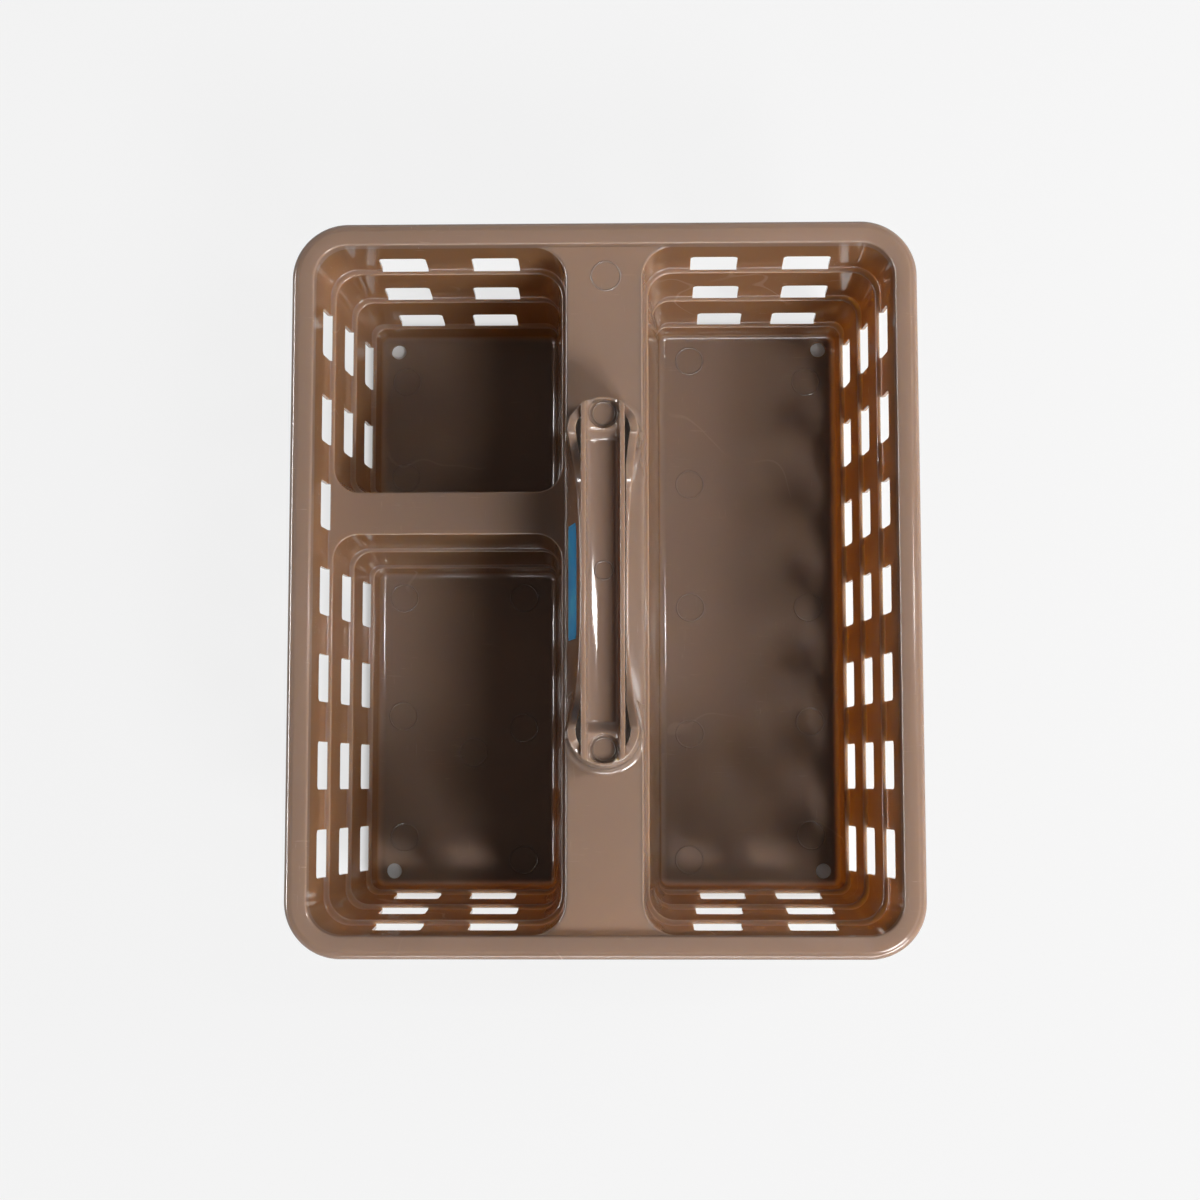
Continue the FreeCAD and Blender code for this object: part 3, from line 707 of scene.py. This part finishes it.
def flank_end(form):
    """Rear part of the right flank, from the post to the corner of the tub."""
    round_ = form.deck_round
    near, step = 14.0, 2.0
    y = np.concatenate([form.post_centre + np.linspace(0.0, near, 29),
                        np.linspace(form.post_centre + (near + step), form.straight_end, 12)])
    top = deck_height(form, form.spine_half - round_, y)
    foot_z = form.ledge_z + form.hollow
    share = np.linspace(0.0, 1.0, 8)
    z = foot_z + (top - round_ - foot_z)[:, None] * share
    foot_x = form.spine_side(form.step_depth - form.hollow, 0)
    head_x = form.spine_half + form.spine_slope * round_
    x = np.tile(foot_x + (head_x - foot_x) * share, (len(y), 1))
    front, back = walled(x, z, top, round_, form.wall, form.wall, 5)
    return ShellMesh(along_y(y, front), along_y(y, back))


def deck(form):
    """Rear deck: rows that start round the post, straighten out and flare between the tubs."""
    across = np.linspace(0.0, math.pi, 49)
    overlap = 0.08
    edge = form.spine_half - form.deck_round + overlap
    end = form.outer_length / 2 - form.outer_inset(form.deck_depth, 0) + form.wall
    straight = form.straight_end
    rows = []
    for radius in form.post_foot + np.linspace(0.0, form.post_fillet, 13):
        start = math.acos(edge / radius)
        around = np.clip(across, start, math.pi - start)
        rows.append(np.column_stack([radius * np.cos(around),
                                     form.post_centre + radius * np.sin(around)]))
    last = rows[-1]
    lane = level(edge * np.cos(across), straight)
    rows += [last * (1 - share) + lane * share for share in np.linspace(0.0, 1.0, 10)[1:]]
    corner = form.corner(form.deck_depth, 0) + form.deck_round
    for over, down in quarter(13)[1:]:
        wide = (edge + corner * over) * np.cos(across)
        rows.append(level(wide, min(straight + corner * (1 - down), end)))
    rows.append(level(rows[-1][:, 0], end))
    x, y = np.moveaxis(np.stack(rows), 2, 0)
    x = np.where(y < straight, np.clip(x, -edge, edge), x)
    z = deck_height(form, x, y)
    low = np.minimum(z, form.deck_z + form.post_fillet) - form.wall
    return ShellMesh(np.dstack([x, y, z])[:, ::-1], np.dstack([x, y, low])[:, ::-1])


def post(form):
    """Rear post: the closed section of its cone wall turned through half a circle.

    At the top the finger edge goes on round it as an inward flange, which stops at the grip's
    sides: its inner radius is grip half width / |cos angle|, held between flange and wall.
    The top dips smoothly behind the grip.
    """
    foot, low = form.post_foot, form.deck_z + form.post_fillet
    round_, tip, wall, thick = 0.5, 0.35, 1.1, 1.8
    sunk, rise, lap = 0.6, 1.5, 0.3
    over, down = quarter(6).T
    turn = np.linspace(0.0, math.pi, 97)
    slope = (foot - form.post_top) / (form.top_z - form.deck_z)
    bore = form.post_top - wall
    height = (form.top_z - form.post_dip * smooth(np.sin(turn), 0.3, 0.75))[:, None]
    with np.errstate(divide="ignore"):
        mouth = form.grip_half / np.abs(np.cos(turn))[:, None]
    mouth = np.clip(mouth, form.post_top - form.band, bore)

    def rings(r, z):
        return np.dstack(np.broadcast_arrays(r, z, turn[:, None]))

    section = np.concatenate([
        rings([foot, foot - slope * rise], [low - sunk, low + rise]),
        rings(form.post_top - round_ * over, height - round_ * down),
        rings(mouth + tip * down, height - tip * over),
        rings(np.hstack([mouth, np.full(mouth.shape, bore + 0.01)]), height - thick - [0.0, 0.01]),
        rings([foot - wall, foot - lap], form.deck_z - form.wall)], axis=1)
    r, z, around = np.moveaxis(section, 2, 0)
    side = form.spine_half - 0.2
    x = np.clip(r * np.cos(around), -side, side)
    return np.dstack([x, form.post_centre + r * np.sin(around), z])


def make_spine(form):
    """Flanks, decks and posts of the hollow spine, mirrored front to rear and side to side."""
    pieces = []
    for side in (1, -1):
        pieces.append(mirrored(flank_middle(form).build("flank"), side, 1))
        pieces += [mirrored(flank_end(form).build("flank"), side, end) for end in (1, -1)]
    for end in (1, -1):
        pieces.append(mirrored(deck(form).build("deck"), 1, end))
        pieces.append(mirrored(loop_tube("post", post(form), closed=False), 1, end))
    return join("spine_moulding", pieces)


# ------------------------------------------------------------------ grip
# radius of the bed's bow, start and end of its ramps, and width of a cup's side
TROUGH_BOW = 16.0
TROUGH_RAMP = (60.6, 66.8)
CUP_SIDE = 0.7
MIRROR = np.array([-1.0, 1.0])


def trough_floor(form, y):
    """Level of the trough's bed: even along the grip, with a soft ramp up to each end."""
    rise = form.grip_depth - form.end_depth
    return form.top_z - form.grip_depth + rise * smooth(np.abs(y), *TROUGH_RAMP)


def trough_height(form, x, y):
    """Height of the trough's bed at x, y: a bow of radius TROUGH_BOW across it, x^2 / (2 r), and
    a round cup sunk in each end, whose side is a smooth step CUP_SIDE wide."""
    z = trough_floor(form, y) + x * x / (2 * TROUGH_BOW)
    inside = form.cup_radius - np.hypot(x - form.grip_middle, np.abs(y) - form.cup_place)
    return z + (form.top_z - form.cup_depth - z) * smooth(inside, 0.0, CUP_SIDE)


def make_grip(form):
    """Grip trough: a closed U section carried between the posts.  The bed is bowed, and a cove
    takes it up to each side wall.  Past the straight run, the sections curve out to the posts."""
    edge, cove, keel_r, draft, thick, cup_thick = 0.4, 2.5, 5.6, 0.35, 2.2, 1.6
    even, straight = 58.0, 68.0
    ramp = np.linspace(even + 0.5, straight, 27)
    tail = np.linspace(0.0, 1.0, 34)[1:]
    # each section as (y, share of the way on from the straight run to the post)
    stations = [(-straight, share) for share in tail[::-1]]
    stations += [(y, 0.0) for y in [*-ramp[::-1], *np.linspace(-even, even, 30), *ramp]]
    stations += [(straight, share) for share in tail]
    half, top = form.grip_half, form.top_z
    inside = half - form.grip_wall
    over, down = quarter(8).T
    bed = inside - draft - cove * 0.7
    lean = math.atan(bed / TROUGH_BOW)
    sweep = np.linspace(math.pi / 2, lean, 8)
    cove_x = -bed - cove * (np.sin(sweep) - math.sin(lean))
    cove_rise = bed ** 2 / (2 * TROUGH_BOW) + cove * (math.cos(lean) - np.cos(sweep))
    flat_x = np.linspace(-bed, bed, 33)[1:-1]
    brow = np.column_stack([-inside - edge * down, top - edge * over])
    sections = []
    for y, share in stations:
        floor = trough_floor(form, y)
        under = min(floor - thick, top - form.cup_depth - cup_thick)
        keel = min(keel_r, (top - under) * 0.8)
        right = np.concatenate([np.column_stack([half - edge * down, top - edge * over]),
                                np.column_stack([half - keel * over, under + keel * down])])
        side = np.column_stack([cove_x, floor + cove_rise])
        flat = np.column_stack([flat_x, floor + flat_x ** 2 / (2 * TROUGH_BOW)])
        section = np.concatenate([right, right[::-1] * MIRROR, brow, side, flat,
                                  side[::-1] * MIRROR, brow[::-1] * MIRROR])
        x = section[:, 0]
        reach = form.post_centre + np.sqrt((form.post_top - 0.5) ** 2 - x ** 2)
        place = y + math.copysign(share, y) * (reach - straight)
        bowl = slice(2 * len(right) + len(brow), len(section) - len(brow))
        dip = trough_height(form, x, place) - floor - x ** 2 / (2 * TROUGH_BOW)
        section[bowl, 1] += dip[bowl]
        sections.append(np.column_stack([x, place, section[:, 1]]))
    piece = loop_tube("grip_trough", np.stack(sections)[:, ::-1], closed=False)
    piece.data.set_sharp_from_angle(angle=GRIP_SHARP)
    return piece


# ------------------------------------------------------------------ small pieces
def make_label(form):
    """Blank film on the left flank: a thin rounded sheet that follows the lean of the flank."""
    first, last, rise, height, radius = -23.0, 29.0, 6.7, 14.9, 2.0
    gap, outside = 0.02, 0.32
    u, v = np.linspace(0.0, 1.0, 41), np.linspace(0.0, 1.0, 21)
    y = first + (last - first) * u
    z = np.tile(form.ledge_z + rise + height * v, (len(u), 1))
    x = leaning(form, y, z)
    front, back = (along_y(y, np.dstack([-(x + off), z]))[::-1] for off in (outside, gap))
    edge_u, edge_v = np.minimum(u, 1 - u) * (last - first), np.minimum(v, 1 - v) * height
    in_u = np.clip(radius - (edge_u[:-1] + edge_u[1:]) / 2, 0, None)[:, None]
    in_v = np.clip(radius - (edge_v[:-1] + edge_v[1:]) / 2, 0, None)
    return ShellMesh(front, back, np.hypot(in_u, in_v) < radius).build("label_film")


# middles of the ejector pins' rings on the floors
FLOOR_MARKS = ((41, 125), (41, 62), (41, 0), (40.5, -63), (40, -125), (99.5, 114), (99.6, 0),
               (100, -57), (100, -113), (-102, 5), (-102, -54), (-101, -114), (-42, 5),
               (-42, -60), (-42, -125), (-67, -72), (-101.6, 115), (-101.7, 66))


def make_marks(form):
    """Shallow rings that the ejector pins leave on the floors, a deck and the grip."""
    floor_ring, deck_ring, cup_ring, bed_ring = 6.8, 6.6, 4.9, 4.0
    rings = [(x, y, form.floor, floor_ring) for x, y in FLOOR_MARKS]
    rings.append((0.9, 139.8, form.deck_z, deck_ring))
    rings += [(form.grip_middle, y, form.top_z - form.cup_depth, cup_ring)
              for y in (form.cup_place, -form.cup_place)]
    rings.append((form.grip_middle, 4.5, None, bed_ring))
    turn = np.linspace(0.0, 2 * math.pi, 65)[:-1, None]
    # section of a ring's bead, from its inner foot to its outer foot
    across = np.array([-0.42, -0.26, 0.0, 0.26, 0.42])
    rise = np.array([-0.08, 0.22, 0.34, 0.22, -0.08])
    pieces = []
    for x, y, bed, radius in rings:
        wide, long_ = x + np.cos(turn) * (radius + across), y + np.sin(turn) * (radius + across)
        z = trough_height(form, wide, long_) if bed is None else np.full(wide.shape, bed)
        pieces.append(loop_tube("mark", np.dstack([wide, long_, z + rise]), closed=True))
    return join("ejector_marks", pieces)


# ------------------------------------------------------------------ materials
class Graph:
    """Shader nodes of one tree, made and joined in short calls."""

    def __init__(self, tree):
        self.tree = tree

    def feed(self, node, inputs):
        """Sets a node's inputs, each to a value or to the output that feeds it."""
        for key, value in inputs.items():
            socket = node.inputs[key]
            if isinstance(value, bpy.types.NodeSocket):
                self.tree.links.new(value, socket)
            else:
                socket.default_value = (*value, 1.0) if socket.type == "RGBA" else value

    def node(self, kind, inputs=None, **settings):
        node = self.tree.nodes.new(kind)
        for name, value in settings.items():
            setattr(node, name, value)
        self.feed(node, inputs or {})
        return node

    def math(self, operation, *values, clamp=False):
        return self.node("ShaderNodeMath", dict(enumerate(values)), operation=operation,
                         use_clamp=clamp).outputs[0]

    def times(self, a, b, clamp=False):
        return self.math("MULTIPLY", a, b, clamp=clamp)

    def plus(self, a, b, clamp=False):
        return self.math("ADD", a, b, clamp=clamp)

    def minus(self, a, b):
        return self.math("SUBTRACT", a, b)

    def larger(self, a, b):
        return self.math("MAXIMUM", a, b)

    def noise(self, vector, scale, detail=4.0, rough=0.55, stretch=None):
        if stretch:
            vector = self.node("ShaderNodeMapping", {"Scale": stretch, "Vector": vector}).outputs[0]
        return self.node("ShaderNodeTexNoise", {
            "Scale": scale, "Detail": detail, "Roughness": rough, "Vector": vector}).outputs["Fac"]

    def ramp(self, value, low, high):
        """Smooth step of a value's share of the way from low to high."""
        return self.node("ShaderNodeMapRange", {"From Min": low, "From Max": high, "Value": value},
                         interpolation_type="SMOOTHSTEP").outputs[0]

    def mix(self, share, first, second):
        return self.node("ShaderNodeMix", {0: share, 6: first, 7: second},
                         data_type="RGBA").outputs[2]

    def axes(self, vector):
        return self.node("ShaderNodeSeparateXYZ", {"Vector": vector}).outputs

    def seen_directly(self):
        """One on the rays that the eye, a reflection or a clear body sends out, else nothing."""
        path = self.node("ShaderNodeLightPath").outputs
        seen = self.larger(path["Is Camera Ray"], path["Is Glossy Ray"])
        return self.larger(seen, path["Is Transmission Ray"])


def wear_group():
    """Scuffs, smudges and the soft unevenness of a moulded plastic surface."""
    tree = bpy.data.node_groups.new("moulded_wear", "ShaderNodeTree")
    for name, kind, way in (("Vector", "Vector", "INPUT"), ("Amount", "Float", "INPUT"),
                            ("Smudge", "Float", "OUTPUT"), ("Scuff", "Float", "OUTPUT"),
                            ("Height", "Float", "OUTPUT")):
        tree.interface.new_socket(name, in_out=way, socket_type="NodeSocket" + kind)
    tree.interface.items_tree["Amount"].default_value = 1.0
    graph = Graph(tree)
    ramp, noise, times = graph.ramp, graph.noise, graph.times
    vector, amount = graph.node("NodeGroupInput").outputs[:2]
    cloud = noise(vector, 22.0, 3.0, 0.6)
    fine = noise(vector, 160.0, 3.0, 0.6)
    line_a = ramp(noise(vector, 90.0, 2.0, 0.5, (1.0, 14.0, 3.0)), 0.66, 0.74)
    line_b = ramp(noise(vector, 90.0, 2.0, 0.5, (14.0, 1.0, 3.0)), 0.68, 0.75)
    patch = ramp(noise(vector, 35.0, 2.0), 0.5, 0.62)
    lines = times(graph.larger(line_a, line_b), patch)
    contour = graph.math("ABSOLUTE", graph.minus(noise(vector, 14.0, 2.0, 0.4), 0.5))
    scratch = graph.minus(1.0, ramp(contour, 0.0015, 0.005))
    where = ramp(noise(vector, 11.0, 1.0, 0.4, (1.0, 1.0, 1.3)), 0.56, 0.6)
    lines = graph.larger(lines, times(scratch, where))
    scuff = times(lines, amount, clamp=True)
    smudge = times(ramp(cloud, 0.3, 0.8), amount, clamp=True)
    height = graph.plus(times(cloud, 0.7), times(fine, 0.06))
    height = graph.minus(height, times(scuff, 0.05))
    graph.node("NodeGroupOutput", {"Smudge": smudge, "Scuff": scuff, "Height": height})
    return tree


def worn_material(finish, name):
    """New material, with its graph, its shader, its coordinates and its wear."""
    material = bpy.data.materials.new(name)
    material.use_nodes = True
    graph = Graph(material.node_tree)
    place = graph.node("ShaderNodeTexCoord").outputs
    wear = bpy.data.node_groups.get("moulded_wear") or wear_group()
    worn = graph.node("ShaderNodeGroup", node_tree=wear)
    graph.feed(worn, {"Vector": place["Object"], "Amount": finish.wear})
    return material, graph, material.node_tree.nodes["Principled BSDF"], place, worn.outputs


def brighter(base, gain, lift=0.0):
    return tuple(min(1.0, part * gain + lift) for part in base)


def plastic_material(finish, name, roughness, subsurface, painted_glow_and_shade_share=0.0):
    """Glossy, slightly translucent polypropylene with smudges and light scuffs.  Standing walls are
    partly painted, by the given share, with a darker, more orange colour: painted light shining
    through the thin plastic and painted shade."""
    material, graph, shader, place, worn = worn_material(finish, name)
    base = tuple(finish.plastic)
    cloud = graph.ramp(graph.noise(place["Object"], 9.0, 3.0), 0.35, 0.7)
    tone = graph.mix(cloud, base, brighter(base, 1.08))
    # painted light and shade: standing faces take the darker, more orange colour in place of light
    # through the thin walls and their shade
    flat = graph.ramp(graph.math("ABSOLUTE", graph.axes(place["Normal"])["Z"]), 0.2, 0.8)
    painted_glow_and_shade_mask = graph.times(graph.minus(1.0, flat), painted_glow_and_shade_share)
    tone = graph.mix(painted_glow_and_shade_mask, tone, tuple(finish.painted_glow_and_shade))
    scuffed = graph.times(worn["Scuff"], 0.35)
    tone = graph.mix(scuffed, tone, brighter(base, 1.3, 0.03))
    rough = graph.plus(roughness, graph.times(worn["Smudge"], 0.05))
    rough = graph.plus(rough, graph.times(worn["Scuff"], 0.15), clamp=True)
    relief = graph.node("ShaderNodeBump", {"Strength": 0.06, "Distance": 0.002,
                                           "Height": worn["Height"]})
    graph.feed(shader, {
        "Base Color": tone, "Roughness": rough, "Normal": relief.outputs["Normal"],
        "Specular IOR Level": 0.5, "IOR": 1.49, "Subsurface Weight": subsurface,
        "Subsurface Radius": (1.0, 0.72, 0.38), "Subsurface Scale": 0.008})
    return material


def film_material(finish):
    """Satin printed film, blank, with a faint mottled tone and rubbed places."""
    material, graph, shader, place, worn = worn_material(finish, "label_film")
    base = tuple(finish.film)
    mottled = graph.ramp(graph.noise(place["Object"], 60.0), 0.4, 0.75)
    tone = graph.mix(mottled, base, brighter(base, 1.35, 0.03))
    tone = graph.mix(graph.times(worn["Scuff"], 0.5), tone, (0.5, 0.55, 0.6))
    smudged = graph.times(worn["Smudge"], 0.2)
    rough = graph.plus(0.3, smudged, clamp=True)
    graph.feed(shader, {"Base Color": tone, "Roughness": rough})
    return material


def finish_piece(piece, material, nodes):
    """Gives a piece its material and its place on the body of the caddy."""
    piece.data.materials.clear()
    piece.data.materials.append(material)
    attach(piece, "root")
    if nodes:
        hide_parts(*nodes)


# ------------------------------------------------------------------ studio
EYE_PALE = (0.905, 0.905, 0.905)
# name, place, target, size, power, and the kind of ray that does not see the lamp
LAMPS = (
    ("key_light", (1.28, -1.85, 2.00), (0.02, -0.02, 0.05), (0.9, 0.9), 85.0, None),
    ("small_lamp", (0.42, 0.08, 1.05), (0.0, 0.0, 0.1), (0.045, 0.25), 2.0, None),
    ("left_strip", (-1.3, 0.1, 0.7), (0.0, 0.0, 0.1), (0.9, 0.2), 24.0, "visible_diffuse"),
    ("front_strip", (0.1, -1.6, 0.9), (0.0, 0.0, 0.1), (0.9, 0.2), 15.0, "visible_diffuse"),
    ("near_fill", (0.78, 0.15, 0.62), (0.0, 0.0, 0.08), (0.4, 0.4), 5.6, "visible_glossy"),
    ("right_fill", (1.5, -0.1, 0.75), (0.0, 0.0, 0.08), (1.0, 0.6), 3.0, "visible_glossy"),
    ("left_fill", (-1.4, 0.0, 0.6), (0.0, 0.0, 0.08), (1.0, 0.6), 3.4, "visible_glossy"))


def make_floor(form, finish):
    """Wide pale floor.  The eye sees it as evenly pale beyond the rim, and partly so from the
    caddy's foot to the rim."""
    size = 3.0
    # distance from the foot over which the paleness rises, and its share, by the foot and the rim
    by_foot, foot_share = (0.0, 0.008), 0.79
    by_rim, rim_share = (0.022, 0.034), 0.15
    inset = form.outer_inset(form.floor_depth, 3) - form.wall
    foot = [(outer / 2 - inset) / 1000.0 for outer in (form.outer_width, form.outer_length)]
    mesh = bpy.data.meshes.new("studio_floor")
    mesh.from_pydata([(-size, -size, 0), (size, -size, 0), (size, size, 0), (-size, size, 0)],
                     [], [(0, 1, 2, 3)])
    floor = place_object("studio_floor", mesh)
    material = bpy.data.materials.new("studio_floor")
    material.use_nodes = True
    mesh.materials.append(material)
    graph, nodes = Graph(material.node_tree), material.node_tree.nodes
    shader = nodes["Principled BSDF"]
    graph.feed(shader, {"Base Color": finish.ground, "Roughness": 0.9, "Specular IOR Level": 0.0})
    pale = graph.node("ShaderNodeEmission", {"Color": EYE_PALE, "Strength": 1.0})
    axes = graph.axes(graph.node("ShaderNodeTexCoord").outputs["Object"])
    beyond = graph.larger(*[graph.minus(graph.math("ABSOLUTE", axes[axis]), half)
                            for axis, half in zip("XY", foot)])
    under = graph.times(graph.ramp(beyond, *by_foot), foot_share)
    clear = graph.times(graph.ramp(beyond, *by_rim), rim_share)
    share = graph.times(graph.seen_directly(), graph.plus(under, clear))
    mix = graph.node("ShaderNodeMixShader", {0: share, 1: shader.outputs["BSDF"],
                                             2: pale.outputs["Emission"]})
    graph.feed(nodes["Material Output"], {"Surface": mix.outputs["Shader"]})


def make_lights():
    """A soft key from the front right and a small lamp above the right tub, two strips that only
    reflections see, for the thin bright lines on edges, and three broad fills that leave no
    highlight."""
    for name, place, target, size, power, unseen in LAMPS:
        data = bpy.data.lights.new(name, "AREA")
        data.shape = "RECTANGLE"
        data.size, data.size_y = size
        data.energy = power
        lamp = place_object(name, data)
        lamp.location = place
        direction = Vector(target) - Vector(place)
        lamp.rotation_euler = direction.to_track_quat("-Z", "Y").to_euler()
        if unseen:
            setattr(lamp, unseen, False)


def make_world():
    """A dim world, a little brighter to matt surfaces, with a pale horizon for the eye and for
    reflections."""
    scene = bpy.context.scene
    world = bpy.data.worlds.new("studio_world")
    scene.world = world
    world.use_nodes = True
    graph = Graph(world.node_tree)
    axes = graph.axes(graph.node("ShaderNodeTexCoord").outputs["Generated"])
    horizon = graph.minus(1.0, graph.ramp(axes["Z"], 0.4, 0.75))
    pale = graph.times(graph.times(graph.seen_directly(), horizon), 0.8)
    matt = graph.node("ShaderNodeLightPath").outputs["Is Diffuse Ray"]
    dome = graph.plus(0.05, graph.times(matt, 0.05))
    graph.feed(world.node_tree.nodes["Background"],
               {"Color": (1.0, 1.0, 1.0), "Strength": graph.plus(dome, pale)})
    scene.view_settings.view_transform = "Standard"


def make_camera():
    """Camera above the caddy, a little in front of it and tilted back towards the middle."""
    data = bpy.data.cameras.new("camera")
    data.sensor_width = 36.0
    data.lens = 58.2
    data.clip_start = 0.05
    camera, scene = place_object("camera", data), bpy.context.scene
    tilt, lateral, roll = 0.0935, 0.0206, -0.0008
    turn = (Matrix.Rotation(roll, 4, "Z") @ Matrix.Rotation(lateral, 4, "Y")
            @ Matrix.Rotation(tilt, 4, "X"))
    place = (0.01573, -0.08669, scene.caddy_basket.crown + 0.850)
    camera.matrix_world = Matrix.Translation(place) @ turn
    scene.camera = camera


# ------------------------------------------------------------------ operators
class MouldedStep:
    """A step that builds one piece of the moulding: shape() makes it, surface holds the name,
    roughness and subsurface of its plastic and the share of painted light and shade on its standing
    walls, and nodes the solids that it stands for."""

    def execute(self, context):
        piece = self.shape(Form())
        material = plastic_material(context.scene.caddy_finish, *self.surface)
        finish_piece(piece, material, self.nodes)
        return {"FINISHED"}


class CADDY_OT_rim(MouldedStep, bpy.types.Operator):
    """Builds the rolled rim"""
    bl_idname = "caddy.rim"
    bl_label = "Rim"
    surface = ("plastic_rim", 0.13, 0.5)
    nodes = ["rim"]

    def shape(self, form):
        return make_rim(form)


class CADDY_OT_right_tub(MouldedStep, bpy.types.Operator):
    """Builds the long right-hand tub"""
    bl_idname = "caddy.right_tub"
    bl_label = "Right tub"
    # the last value is the share of painted light and shade on the standing walls
    surface = ("plastic_right", 0.07, 0.95, 0.8)
    nodes = ["right_floor", "right_side_wall", "right_rear_wall", "right_front_wall",
             "right_spine_wall"]

    def shape(self, form):
        return join("right_tub", tub_pieces(form, "right"), welded=True)


class CADDY_OT_left_tubs(MouldedStep, bpy.types.Operator):
    """Builds the two left-hand tubs and their divider"""
    bl_idname = "caddy.left_tubs"
    bl_label = "Left tubs"
    # the last value is the share of painted light and shade on the standing walls
    surface = ("plastic_left", 0.07, 0.95, 0.8)
    nodes = ["rear_left_floor", "rear_left_side_wall", "rear_left_end_wall",
             "rear_left_spine_wall", "divider_rear_wall", "divider_front_wall", "divider_deck",
             "front_left_floor", "front_left_side_wall", "front_left_end_wall",
             "front_left_spine_wall", "left_side_upper_wall", "left_rear_upper_wall",
             "left_front_upper_wall", "left_spine_ledge"]

    def shape(self, form):
        pieces = tub_pieces(form, "rear_left") + tub_pieces(form, "front_left")
        return join("left_tubs", pieces, welded=True)


class CADDY_OT_spine(MouldedStep, bpy.types.Operator):
    """Builds the hollow spine with its decks and posts"""
    bl_idname = "caddy.spine"
    bl_label = "Spine"
    surface = ("plastic_spine", 0.1, 0.6)
    nodes = ["right_flank", "left_flank", "rear_deck", "front_deck", "rear_post", "front_post"]

    def shape(self, form):
        return make_spine(form)


class CADDY_OT_grip(MouldedStep, bpy.types.Operator):
    """Builds the grip trough"""
    bl_idname = "caddy.grip"
    bl_label = "Grip"
    surface = ("plastic_grip", 0.05, 0.6)
    nodes = ["grip"]

    def shape(self, form):
        return make_grip(form)


class CADDY_OT_marks(MouldedStep, bpy.types.Operator):
    """Adds the rings left by the ejector pins"""
    bl_idname = "caddy.marks"
    bl_label = "Marks"
    surface = ("plastic_marks", 0.1, 0.6)
    nodes = []

    def shape(self, form):
        return make_marks(form)


class CADDY_OT_label(bpy.types.Operator):
    """Adds the blank label"""
    bl_idname = "caddy.label"
    bl_label = "Label"

    def execute(self, context):
        material = film_material(context.scene.caddy_finish)
        finish_piece(make_label(Form()), material, ["label"])
        return {"FINISHED"}


class CADDY_OT_studio(bpy.types.Operator):
    """Sets the pale floor, the soft lights and the camera"""
    bl_idname = "caddy.studio"
    bl_label = "Studio"

    def execute(self, context):
        make_floor(Form(), context.scene.caddy_finish)
        make_lights()
        make_world()
        make_camera()
        return {"FINISHED"}


class CADDY_PT_panel(bpy.types.Panel):
    """Lists the steps that build the caddy"""
    bl_idname = "CADDY_PT_panel"
    bl_label = "Cleaning Caddy"
    bl_space_type = "VIEW_3D"
    bl_region_type = "UI"
    bl_category = "Caddy"

    def draw(self, context):
        for operator in OPERATORS:
            self.layout.operator(operator.bl_idname)
        for group in GROUPS:
            box, settings = self.layout.box(), getattr(context.scene, group)
            for name in settings.__annotations__:
                box.prop(settings, name)


OPERATORS = (CADDY_OT_studio, CADDY_OT_rim, CADDY_OT_right_tub, CADDY_OT_left_tubs,
             CADDY_OT_spine, CADDY_OT_grip, CADDY_OT_label, CADDY_OT_marks)
GROUPS = {"caddy_basket": CaddyBasket, "caddy_handle": CaddyHandle, "caddy_finish": CaddyFinish}
CLASSES = (*GROUPS.values(), *OPERATORS, CADDY_PT_panel)


def register():
    for cls in CLASSES:
        bpy.utils.register_class(cls)
    for name, group in GROUPS.items():
        setattr(bpy.types.Scene, name, PointerProperty(type=group))


def unregister():
    for name in GROUPS:
        delattr(bpy.types.Scene, name)
    for cls in reversed(CLASSES):
        bpy.utils.unregister_class(cls)


def main():
    register()
    for operator in OPERATORS:
        group, name = operator.bl_idname.split(".")
        getattr(getattr(bpy.ops, group), name)()


if __name__ == "__main__":
    main()
